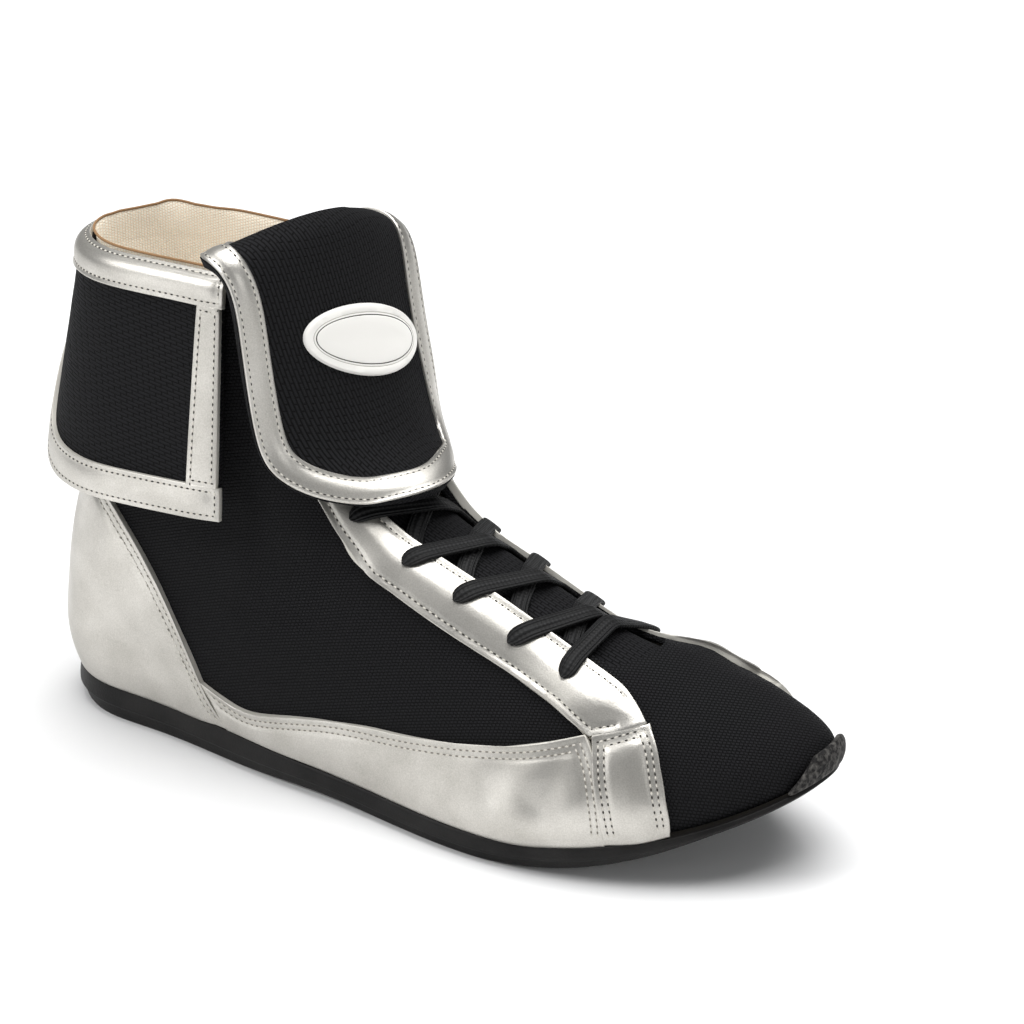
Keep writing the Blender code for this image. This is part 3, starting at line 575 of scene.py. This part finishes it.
silver_piece("heel_counter", "counter", COUNTER_ROWS, clear_of_sole, finish=SOFT_HOLE_SHADE, widen=COUNTER_WIDEN,
             lift=COUNTER_LIFT)
for side in ("lateral", "medial"):
    silver_piece(f"mudguard_skin_{side}", f"mudguard_{side}", MUDGUARD_ROWS, clear_of_counter,
                 reach=MUDGUARD_REACH, finish=SOFT_HOLE_SHADE)
    silver_piece(f"vamp_strap_skin_{side}", f"vamp_strap_{side}", STRAP_ROWS, clear_of_sole, widen=STRAP_WIDEN)
    stay_bm = overlay(f"eyestay_{side}", STAY_ROWS, clear_of_strap, widen=STRAP_WIDEN)
    every = stay_bm.verts[:] + stay_bm.edges[:] + stay_bm.faces[:]
    bmesh.ops.bisect_plane(stay_bm, geom=every, plane_co=(0, 0, STAY_SHADE_FROM), plane_no=(0, 0, 1))
    # Painted shade: above this height the stay wears the black mesh finish, for the flap's shadow on the silver.
    for face in stay_bm.faces:
        if face.calc_center_median().z > STAY_SHADE_FROM:
            face.material_index = 2
    piece(f"eyestay_skin_{side}", stay_bm, [silver_leather, cut_edge, side_mesh], "silver_leather",
          f"eyestay_{side}")


# Cuff: the collar's own mesh, folded over the rim and hanging free, bound in silver leather strips.
# The hem rises in an arch at the back, and the lining shows inside as far as a narrow brown edge.
EDGE_BROWN = "8a6a48"
CUFF_DASH_MM, CUFF_RIB_MM = 3.6, 1.2
CUFF_ALONG, CUFF_UP = (0.75, 0.66, 0.0), (0.15, 0.1, 1.0)
CUFF_ROWS, CUFF_PUFF = (1.7,), 0.25
# The rim is the collar's edge above this height, and is followed in even steps.
RIM_FROM, RIM_STEP = 158 * MM, 1.5 * MM
# Collar lining from the shaft up to its bound edge: rise over the shaft's rim and step outward, in mm.
COLLAR_LINING = ((-9.0, 0.9), (-4.0, -0.1), (0.0, -0.35), (3.0, -0.35), (5.6, -0.1), (7.0, 0.5))
# Creases of the collar lining: turn about the leg and breadth in degrees, step outward and rise in mm.
LINING_CREASES = ((146, 8, 0.8, 0.9), (165, 11, -1.0, -0.3), (124, 12, -0.9, -0.3), (178, 3, -0.6, 0.0),
                  (154, 3, -0.6, 0.0), (135, 3, -0.5, 0.0), (-150, 10, -0.4, -0.2))
# Radius of the brown edge, and length of a swept end that tapers.
EDGE_RADIUS, END_LENGTH = 0.45 * MM, 5.5 * MM


def sweep(line, facing, wide, thick, squareness, taper=1.0):
    """A bmesh of a rounded section swept along a line, lying square to the facings. Its ends may taper."""
    course = np.gradient(line, axis=0)
    course /= np.linalg.norm(course, axis=1)[:, None]
    across = np.cross(course, facing)
    across /= np.linalg.norm(across, axis=1)[:, None]
    up = np.cross(across, course)
    marks = np.concatenate([[0.0], np.cumsum(np.linalg.norm(np.diff(line, axis=0), axis=1))])
    last = len(line) - 1
    bm = bmesh.new()
    uv = bm.loops.layers.uv.new("UVMap")
    bmesh.ops.create_grid(bm, x_segments=24, y_segments=last, size=1.0)
    for vert in bm.verts:
        station = round((vert.co.y + 1) / 2 * last)
        for loop in vert.link_loops:
            loop[uv].uv = (marks[station], math.cos(vert.co.x * math.pi) * wide)
    for vert in bm.verts:
        station = round((vert.co.y + 1) / 2 * last)
        end = min(marks[station], marks[-1] - marks[station])
        narrow = taper + (1 - taper) * math.sqrt(1 - (1 - min(end / END_LENGTH, 1.0)) ** 2)
        side, rise = math.cos(vert.co.x * math.pi), math.sin(vert.co.x * math.pi)
        step = across[station] * math.copysign(abs(side) ** squareness, side) * wide * narrow
        vert.co = Vector(line[station] + step
                         + up[station] * math.copysign(abs(rise) ** squareness, rise) * thick / narrow ** 0.4)
    bmesh.ops.remove_doubles(bm, verts=bm.verts, dist=0.001 * MM)
    bmesh.ops.holes_fill(bm, edges=bm.edges, sides=0)
    bmesh.ops.recalc_face_normals(bm, faces=bm.faces)
    return bm


def anywhere(place):
    """True everywhere: a seam that runs all round its piece."""
    return True


cuff_mesh = knit("cuff_mesh", MESH_BLACK, MESH_GREY, MESH_ROUGHNESS, CUFF_ALONG, CUFF_UP, CUFF_DASH_MM,
                 CUFF_RIB_MM)
piece("cuff_cloth", refined(cad_copy("cuff"), 2, SHEET_SHARP), [cuff_mesh], "black_mesh", "cuff")
for name in ("cuff_top_band", "cuff_hem_band", "cuff_front_band_lateral", "cuff_front_band_medial"):
    silver_piece(f"{name}_skin", name, CUFF_ROWS, anywhere, levels=2, puff=CUFF_PUFF)

lowest = min(range(len(collar_line)), key=lambda index: collar_line[index].z)
rim_line = [point for point in collar_line[lowest:] + collar_line[:lowest] if point.z > RIM_FROM]
rim_line = np.array([point for point, _ in evenly(rim_line, RIM_STEP, False)])
rim_out = outward(rim_line) * (1, 1, 0)
rim_out /= np.linalg.norm(rim_out, axis=1)[:, None]
rim_turn = np.degrees(np.arctan2(rim_line[:, 1], rim_line[:, 0] - CORE[-1][0]))
crease_out, crease_rise = np.zeros(len(rim_line)), np.zeros(len(rim_line))
for turn, breadth, step, rise in LINING_CREASES:
    near = np.exp(-(((rim_turn - turn + 180) % 360 - 180) / breadth) ** 2)
    crease_out += step * near
    crease_rise += rise * near
lining_bm = bmesh.new()
bmesh.ops.create_grid(lining_bm, x_segments=len(rim_line) - 1, y_segments=10, size=1.0)
for vert in lining_bm.verts:
    place = round((vert.co.x + 1) / 2 * (len(rim_line) - 1))
    mark = (vert.co.y + 1) / 2 * (len(COLLAR_LINING) - 1)
    rise, step = (np.interp(mark, range(len(COLLAR_LINING)), column) * MM for column in zip(*COLLAR_LINING))
    share = max(mark - 2, 0) / (len(COLLAR_LINING) - 3)
    step += crease_out[place] * share * MM
    rise += crease_rise[place] * share * MM
    vert.co = Vector(rim_line[place] + rim_out[place] * step + np.array((0, 0, rise)))
bmesh.ops.recalc_face_normals(lining_bm, faces=lining_bm.faces)
lining_bm.faces.ensure_lookup_table()
if outward(np.array([lining_bm.faces[0].calc_center_median()]))[0] @ np.array(lining_bm.faces[0].normal) > 0:
    bmesh.ops.reverse_faces(lining_bm, faces=lining_bm.faces)
piece("collar_lining", lining_bm, [beige_lining], "beige_mesh")
brown_edge = plain_finish("brown_edge", EDGE_BROWN, 0.8)
edge_line = rim_line + rim_out * (COLLAR_LINING[-1][1] + crease_out)[:, None] * MM
edge_line[:, 2] += (COLLAR_LINING[-1][0] + crease_rise) * MM
piece("lining_edge", sweep(edge_line, rim_out, EDGE_RADIUS, EDGE_RADIUS, 1.0), [brown_edge], "beige_mesh")


# Tongue: padded black mesh that runs up the throat, folds over the rim and hangs as a flap.
# A silver strip binds the flap's edge, and an oval white badge is welded to its face.
BADGE_WHITE, BADGE_LINE, BADGE_FAINT = "f1efea", "4b4842", "b9b6ae"
# Rings of the badge: distance from its edge and height over the flap in mm, and 1 or 2 for a faint or dark line.
BADGE_RINGS = ((0.0, 0.2, 0), (0.2, 1.0, 0), (0.7, 1.5, 0), (2.7, 1.5, 0), (2.8, 1.4, 1), (2.95, 1.5, 1),
               (3.5, 1.5, 0), (3.62, 1.25, 2), (3.85, 1.5, 2), (4.3, 1.6, 0), (6.0, 1.7, 0), (8.0, 1.75, 0))
# Half axes of the badge, as steps across and up in mm.
BADGE_LONG, BADGE_SHORT = (22.8, -5.8), (2.4, 11.2)
BADGE_SHIFT = Vector((0.0, 2.2, -0.8)) * MM
# The badge is laid on the flap from this far ahead of it.
BADGE_AHEAD = 40 * MM
TONGUE_DASH_MM, TONGUE_RIB_MM = 4.0, 1.2
FLAP_ALONG, LYING_ALONG, TONGUE_UP = (0.35, -0.12, 1.0), (1.0, 0.0, 0.0), (0.0, 1.0, 0.12)
# The flap hangs above one height, the throat ends below another, and the tongue lies where it faces up.
FLAP_FROM, THROAT_TO, TONGUE_LYING = 100 * MM, 98 * MM, 0.62
# The binding follows the flap's edge wherever the edge is near its solid.
BINDING_NEAR, BINDING_STEP, BINDING_WIDTH = 5.2 * MM, 1.6 * MM, 9.6 * MM
BINDING_SMOOTHING = 14
BINDING_SEAMS = (0.18, 0.82)
# Section of the binding: share of its width from the flap's edge, and height over the flap in mm.
BINDING_SECTION = ((0.03, -0.5), (0.03, 0.6), (0.07, 0.95), (0.18, 0.7), (0.3, 1.1), (0.5, 1.25), (0.7, 1.1),
                   (0.82, 0.7), (0.93, 0.95), (0.97, 0.6), (0.97, -0.5), (0.5, -0.5), (0.03, -0.5))
tongue_mesh = knit("tongue_mesh", MESH_BLACK, MESH_GREY, MESH_ROUGHNESS, FLAP_ALONG, TONGUE_UP, TONGUE_DASH_MM,
                   TONGUE_RIB_MM)
lying_mesh = knit("lying_tongue_mesh", MESH_BLACK, MESH_GREY, MESH_ROUGHNESS, LYING_ALONG, TONGUE_UP,
                  TONGUE_DASH_MM, TONGUE_RIB_MM)
tongue_bm = cad_copy("tongue")
tongue_sides = smooth_patches(tongue_bm, SHEET_SHARP)[:2]
tongue_sides.sort(key=lambda faces: sum(face.normal.x * face.calc_area() for face in faces
                                        if face.calc_center_median().z > FLAP_FROM))
for face in tongue_bm.faces:
    face.material_index = 0
for face in tongue_sides[1]:
    face.material_index = 1
tongue_bm = refined(tongue_bm, 2, SHEET_SHARP)
settle(tongue_bm)
throat_faces = [[vert.index for vert in face.verts] for face in tongue_bm.faces
                if face.calc_center_median().z < THROAT_TO]
throat_skin = BVHTree.FromPolygons([vert.co for vert in tongue_bm.verts], throat_faces)
flap_skin = face_skin(tongue_bm, 1)
flap_line = border_lines(tongue_bm, 1)[0]
for face in tongue_bm.faces:
    face.material_index = 1 if abs(face.normal.z) > TONGUE_LYING else 0
piece("tongue_cloth", tongue_bm, [tongue_mesh, lying_mesh], "black_mesh", "tongue")

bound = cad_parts["tongue_binding"].data.vertices
bound_tree = KDTree(len(bound))
for index, vert in enumerate(bound):
    bound_tree.insert(vert.co, index)
bound_tree.balance()
held = [bound_tree.find(point)[2] < BINDING_NEAR for point in flap_line]
count = len(held)
# The binding is one strip, from the end of the longest gap in the edge round to its start.
gaps = {index: next(step for step in range(1, count + 1) if held[(index + step) % count])
        for index in range(count) if held[index]}
last = max(gaps, key=gaps.get)
first = last + gaps[last]
chain = [flap_line[index % count] for index in range(first, last + count + 1)]
edge_points = np.array([point for point, _ in evenly(chain, BINDING_STEP, False)])
edge_course = np.gradient(edge_points, axis=0)
inside = []
for point, course in zip(edge_points, edge_course):
    normal = flap_skin.find_nearest(Vector(point))[1]
    inside.append(Vector(point) + normal.cross(Vector(course)).normalized() * BINDING_WIDTH)
inside = np.array(inside)
for _ in range(BINDING_SMOOTHING):
    inside[1:-1] = (inside[:-2] + 2 * inside[1:-1] + inside[2:]) / 4
binding_bm = bmesh.new()
bmesh.ops.create_grid(binding_bm, x_segments=len(edge_points) - 1, y_segments=len(BINDING_SECTION) - 1,
                      size=1.0)
seams = {share: [] for share in BINDING_SEAMS}
for vert in sorted(binding_bm.verts, key=lambda found: (round(found.co.y, 4), found.co.x)):
    place = round((vert.co.x + 1) / 2 * (len(edge_points) - 1))
    share, height = BINDING_SECTION[round((vert.co.y + 1) / 2 * (len(BINDING_SECTION) - 1))]
    spot = Vector(edge_points[place] + (inside[place] - edge_points[place]) * share)
    foot, normal = flap_skin.find_nearest(spot)[:2]
    vert.co = foot + normal * height * MM
    if share in seams and height > 0:
        seams[share].append(vert.co.copy())
bmesh.ops.remove_doubles(binding_bm, verts=binding_bm.verts, dist=0.005 * MM)
bmesh.ops.holes_fill(binding_bm, edges=binding_bm.edges, sides=0)
bmesh.ops.recalc_face_normals(binding_bm, faces=binding_bm.faces)
binding_skin = BVHTree.FromBMesh(binding_bm)
for line in seams.values():
    lay_stitches(binding_skin, line)
piece("flap_binding", binding_bm, [silver_leather], "silver_leather", "tongue_binding")

white_badge = plain_finish("white_badge", BADGE_WHITE, 0.38)
badge_grey = plain_finish("badge_line", BADGE_LINE, 0.5)
badge_faint = plain_finish("badge_faint_line", BADGE_FAINT, 0.5)
badge_low, badge_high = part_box("tongue_badge")
badge_middle = (Vector(badge_low) + Vector(badge_high)) / 2 + BADGE_SHIFT
badge_half = [math.hypot(*axis) for axis in (BADGE_LONG, BADGE_SHORT)]
badge_bm = bmesh.new()
bmesh.ops.create_circle(badge_bm, cap_ends=True, segments=72, radius=1.0)
step = 0.9 / len(BADGE_RINGS)
for _, _, finish in BADGE_RINGS[1:]:
    middle = max(badge_bm.faces, key=lambda face: len(face.verts))
    ring = bmesh.ops.inset_individual(badge_bm, faces=[middle], thickness=step, use_even_offset=True)
    for face in ring["faces"]:
        face.material_index = finish
    middle.material_index = 0
bmesh.ops.poke(badge_bm, faces=[max(badge_bm.faces, key=lambda face: len(face.verts))])
for vert in badge_bm.verts:
    index = min(round((1 - vert.co.length) / step), len(BADGE_RINGS) - 1)
    edge, height, _ = BADGE_RINGS[index]
    round_out = vert.co.normalized() if vert.co.length > 0.01 else Vector()
    long_share, short_share = (part * (1 - edge / half) for part, half in zip(round_out, badge_half))
    above = badge_middle + Vector((BADGE_AHEAD, 0, 0))
    above.y += (BADGE_LONG[0] * long_share + BADGE_SHORT[0] * short_share) * MM
    above.z += (BADGE_LONG[1] * long_share + BADGE_SHORT[1] * short_share) * MM
    foot, normal = flap_skin.ray_cast(above, Vector((-1, 0, 0)))[:2]
    vert.co = foot + normal * height * MM
bmesh.ops.recalc_face_normals(badge_bm, faces=badge_bm.faces)
if max(badge_bm.faces, key=lambda face: face.calc_area()).normal.x < 0:
    bmesh.ops.reverse_faces(badge_bm, faces=badge_bm.faces)
piece("oval_badge", badge_bm, [white_badge, badge_faint, badge_grey], "white_badge", "tongue_badge")


# Stitching: light polyester thread, sewn in rows along every seam of the leather.
# A needle hole shows between each stitch and the next, as a dark mark of painted shade.
piece("seam_stitches", stitch_bm, [thread_light, needle_dark_shade, needle_soft_shade], "silver_leather")


# Lace: one flat black braid through five punched holes on each side, a straight bar at the toe end.
# Each strand leaves from under one stay's edge and goes over the other into the next hole up.
LACE_CHARCOAL, LACE_DARK, HOLE_DARK = "171718", "050505", "0b0b0b"
LACE_WIDTH_MM, LACE_THICK_MM, LACE_RIBS, BRAID_MM = 6.4, 1.6, 5, 1.5
# Hole rows in mm, from the toe end: place along the shoe, across on the outer and on the inner side.
LACE_HOLES = ((170, -24.5, 25.5), (151, -25.5, 22.5), (131, -25.5, 21.2), (112, -25.5, 21.2),
              (92, -25.5, 23.5))
HOLE_SIZE = (4.4, 3.0, 0.6)
# The inner holes lie a little nearer the toe, and a strand comes to its outer hole from the toe side, in mm.
INNER_LEAD, OUTER_LEAD = 4.0, 3.4
# A strand's end: share of the hole's distance and height at the stay's edge, and then, at and in the hole,
# steps outward and heights over the leather in mm. The lace tips over as it goes in.
EDGE_SHARE, EDGE_RISE = 0.83, 1.3
HOLE_STEPS = ((0.0, 1.1), (1.6, -0.4), (2.2, -1.6))
HOLE_TIP = Vector((0, 0, 0.2))
# A strand's start below a stay, and its way over the tongue: the lower row's share of the place along, the
# share of the hole's distance across, and heights in mm. A strand from the outer side crosses below.
START_SHARE, START_RISE = 0.9, -2.6
NEAR_ROW, NEAR_SHARE, NEAR_RISE = 0.72, 0.5, 1.4
CROSSING_ROWS, CROSSING_ACROSS, CROSSING_RISES = (0.5, 0.7), 0.8 * MM, (2.0, 4.0)
BAR_ACROSS, BAR_RISE = 1.5 * MM, 3.6
# Plumb lines start over the whole throat, and a strand has this many stations, smoothed a few times.
DROP_FROM = 140 * MM
STATIONS, STRAND_SMOOTHING = 49, 6


def flat_braid(name):
    """Polyester flat braid: lengthwise ribs of slanted yarn, dull with a slight gloss on the yarn."""
    made, tree, shader, _ = start_material(name, 0.6)
    place = add(tree, "UVMap").outputs["UV"]
    split = add(tree, "SeparateXYZ", None, {0: place})
    rib = add(tree, "Math", {"operation": "MULTIPLY"},
              {0: split.outputs["Y"], 1: math.tau * LACE_RIBS / (LACE_WIDTH_MM * MM)})
    crest = add(tree, "Math", {"operation": "COSINE"}, {0: rib.outputs[0]})
    slant = add(tree, "Math", {"operation": "ABSOLUTE"}, {0: crest.outputs[0]})
    yarn = add(tree, "Math", {"operation": "MULTIPLY_ADD"},
               {0: split.outputs["X"], 1: math.tau / (BRAID_MM * MM), 2: slant.outputs[0]})
    twist = add(tree, "Math", {"operation": "SINE"}, {0: yarn.outputs[0]})
    height = add(tree, "Math", {"operation": "MULTIPLY_ADD"},
                 {0: twist.outputs[0], 1: 0.35, 2: crest.outputs[0]})
    shade = add(tree, "MapRange", None, {0: height.outputs[0], 1: -1.0, 2: 0.8, 3: 0.0, 4: 1.0})
    colour = add(tree, "Mix", {"data_type": "RGBA"},
                 {"Factor": shade.outputs[0], "A": srgb(LACE_DARK), "B": srgb(LACE_CHARCOAL)})
    tree.links.new(colour.outputs["Result"], shader.inputs["Base Color"])
    bump = add(tree, "Bump", None, {"Height": height.outputs[0], "Strength": 0.8, "Distance": 0.2 * MM})
    tree.links.new(bump.outputs["Normal"], shader.inputs["Normal"])
    shader.inputs["Specular IOR Level"].default_value = 0.25
    return made


def strand(bm, path, normals):
    """Lay a strand of the flat braid along a path of points, square to the normals given at them."""
    points = np.array(path)
    marks = np.concatenate([[0.0], np.cumsum(np.linalg.norm(np.diff(points, axis=0), axis=1))])
    stations = np.linspace(0, marks[-1], STATIONS)
    line = np.stack([np.interp(stations, marks, points[:, axis]) for axis in range(3)], axis=1)
    face = np.stack([np.interp(stations, marks, np.array(normals)[:, axis]) for axis in range(3)], axis=1)
    for _ in range(STRAND_SMOOTHING):
        line[1:-1] = (line[:-2] + 2 * line[1:-1] + line[2:]) / 4
        face[1:-1] = (face[:-2] + 2 * face[1:-1] + face[2:]) / 4
    join(bm, sweep(line, face, LACE_WIDTH_MM * MM / 2, LACE_THICK_MM * MM / 2, 0.6, 0.2))


def drop(skin, x, y):
    """The point and normal where a plumb line first meets a skin."""
    return skin.ray_cast(Vector((x, y, DROP_FROM)), Vector((0, 0, -1)))[:2]


def hole_place(row, side):
    """A hole's place along and across the shoe. Side 0 is the outer one, and 1 the inner one."""
    return (LACE_HOLES[row][0] + INNER_LEAD * side) * MM, LACE_HOLES[row][1 + side] * MM


def hole_end(row, side):
    """The last points of a strand and their facings: over the stay's edge, to its hole and down into it."""
    along, across = hole_place(row, side)
    hole, facing = drop(stay_skins[side], along, across)
    lead = OUTER_LEAD * MM if row and not side else 0.0
    edge, edge_facing = drop(stay_skins[side], along + lead, across * EDGE_SHARE)
    away = Vector((0, 1 if side else -1, 0))
    points = [hole + away * step * MM + facing * rise * MM for step, rise in HOLE_STEPS]
    return ([edge + edge_facing * EDGE_RISE * MM] + points,
            [edge_facing, facing, facing + away, away + HOLE_TIP])


def between_rows(row, share):
    """A place along the shoe between a row of holes and the one below it, by the lower row's share."""
    return (LACE_HOLES[row - 1][0] * share + LACE_HOLES[row][0] * (1 - share)) * MM


black_braid = flat_braid("black_braid")
stay_skins = [panel_skins["eyestay_lateral"], panel_skins["eyestay_medial"]]
hole_bm = bmesh.new()
lace_bms = [bmesh.new() for _ in LACE_HOLES]
for row in range(len(LACE_HOLES)):
    for side in (0, 1):
        hole, facing = drop(stay_skins[side], *hole_place(row, side))
        turn = facing.to_track_quat("Z", "X").to_matrix().to_4x4()
        size = Matrix.Diagonal((*[width * MM for width in HOLE_SIZE], 1))
        bmesh.ops.create_uvsphere(hole_bm, u_segments=14, v_segments=6, radius=0.5,
                                  matrix=Matrix.Translation(hole) @ turn @ size)

outer_end, outer_facings = hole_end(0, 0)
inner_end, inner_facings = hole_end(0, 1)
middle, middle_facing = drop(throat_skin, LACE_HOLES[0][0] * MM, BAR_ACROSS)
strand(lace_bms[0], outer_end[::-1] + [middle + middle_facing * BAR_RISE * MM] + inner_end,
       outer_facings[::-1] + [middle_facing] + inner_facings)
for row in range(1, len(LACE_HOLES)):
    for side in (0, 1):
        along, across = hole_place(row - 1, side)
        start, start_facing = drop(stay_skins[side], along, across * START_SHARE)
        near, near_facing = drop(throat_skin, between_rows(row, NEAR_ROW), across * NEAR_SHARE)
        middle, middle_facing = drop(throat_skin, between_rows(row, CROSSING_ROWS[side]), CROSSING_ACROSS)
        end, end_facings = hole_end(row, 1 - side)
        path = [start + start_facing * START_RISE * MM, near + near_facing * NEAR_RISE * MM,
                middle + middle_facing * CROSSING_RISES[side] * MM]
        strand(lace_bms[row], path + end, [start_facing, near_facing, middle_facing] + end_facings)
for row, lace_bm in enumerate(lace_bms):
    name = f"lace_cross_{row}" if row else "lace_bar"
    piece(f"{name}_braid", lace_bm, [black_braid], "black_lace", name)
hole_dark = plain_finish("punched_holes", HOLE_DARK, 0.9)
piece("lace_holes", hole_bm, [hole_dark], "silver_leather")


# Stage: a plain pale floor and soft studio light, seen from the photograph's angle.
# The camera's shift places the shoe left of the middle, as the photograph does.
EYE_TURN, EYE_RISE = math.radians(31.93), math.radians(24.69)
EYE_DISTANCE = 0.97984
EYE_TARGET = Vector((0.1065, 0.0, 0.080))
EYE_LENS, EYE_SENSOR, EYE_SHIFT = 105.47, 36.0, (0.0749, 0.0359)
FLOOR_WHITE, SKY_GREY, SKY_STRENGTH = "efefef", "e8eaec", 0.26
# Half the floor's side in metres.
FLOOR_HALF = 5.0
# The paper glows with painted light, faint near the shoe and stronger away from it: two distances in metres and
# their strengths.
WASH_FROM, WASH_TO, WASH_NEAR, WASH_FAR = 0.25, 1.2, 0.02, 0.45
# Lamps: place in metres, size in metres, power in watts.
LAMPS = (("key_softbox", (-0.9, -1.1, 1.3), 0.7, 14.0), ("fill_softbox", (1.5, -0.7, 0.7), 0.6, 2.0),
         ("side_softbox", (-0.85, -1.55, 0.3), 0.7, 3.4),
         ("top_softbox", (0.2, 0.2, 1.6), 1.6, 39.0))
LAMP_AIM = Vector((0.1, 0.0, 0.06))
floor_bm = bmesh.new()
bmesh.ops.create_grid(floor_bm, x_segments=1, y_segments=1, size=FLOOR_HALF)
floor_mesh = bpy.data.meshes.new("floor")
floor_bm.to_mesh(floor_mesh)
floor_bm.free()
floor = bpy.data.objects.new("floor", floor_mesh)
bpy.context.scene.collection.objects.link(floor)
paper, paper_tree, paper_shader, paper_place = start_material("pale_paper", 0.9)
paper_shader.inputs["Base Color"].default_value = srgb(FLOOR_WHITE)
paper_shader.inputs["Emission Color"].default_value = srgb(FLOOR_WHITE)
reach = add(paper_tree, "VectorMath", {"operation": "LENGTH"}, {0: paper_place})
wash = add(paper_tree, "MapRange", None,
           {0: reach.outputs["Value"], 1: WASH_FROM, 2: WASH_TO, 3: WASH_NEAR, 4: WASH_FAR})
paper_tree.links.new(wash.outputs[0], paper_shader.inputs["Emission Strength"])
floor_mesh.materials.append(paper)

for name, place, size, power in LAMPS:
    lamp_data = bpy.data.lights.new(name, "AREA")
    lamp_data.size = size
    lamp_data.energy = power
    lamp = bpy.data.objects.new(name, lamp_data)
    lamp.location = place
    lamp.rotation_euler = (Vector(place) - LAMP_AIM).to_track_quat("Z", "Y").to_euler()
    bpy.context.scene.collection.objects.link(lamp)

world = bpy.data.worlds.new("studio")
world.use_nodes = True
world.node_tree.nodes["Background"].inputs["Color"].default_value = srgb(SKY_GREY)
world.node_tree.nodes["Background"].inputs["Strength"].default_value = SKY_STRENGTH
bpy.context.scene.world = world
bpy.context.scene.view_settings.view_transform = "Standard"

camera_data = bpy.data.cameras.new("camera")
camera_data.sensor_width = EYE_SENSOR
camera_data.lens = EYE_LENS
camera_data.shift_x, camera_data.shift_y = EYE_SHIFT
camera = bpy.data.objects.new("camera", camera_data)
bpy.context.scene.collection.objects.link(camera)
gaze = Vector((math.sin(EYE_TURN) * math.cos(EYE_RISE), -math.cos(EYE_TURN) * math.cos(EYE_RISE),
               math.sin(EYE_RISE)))
camera.location = EYE_TARGET + gaze * EYE_DISTANCE
camera.rotation_euler = gaze.to_track_quat("Z", "Y").to_euler()
bpy.context.scene.camera = camera
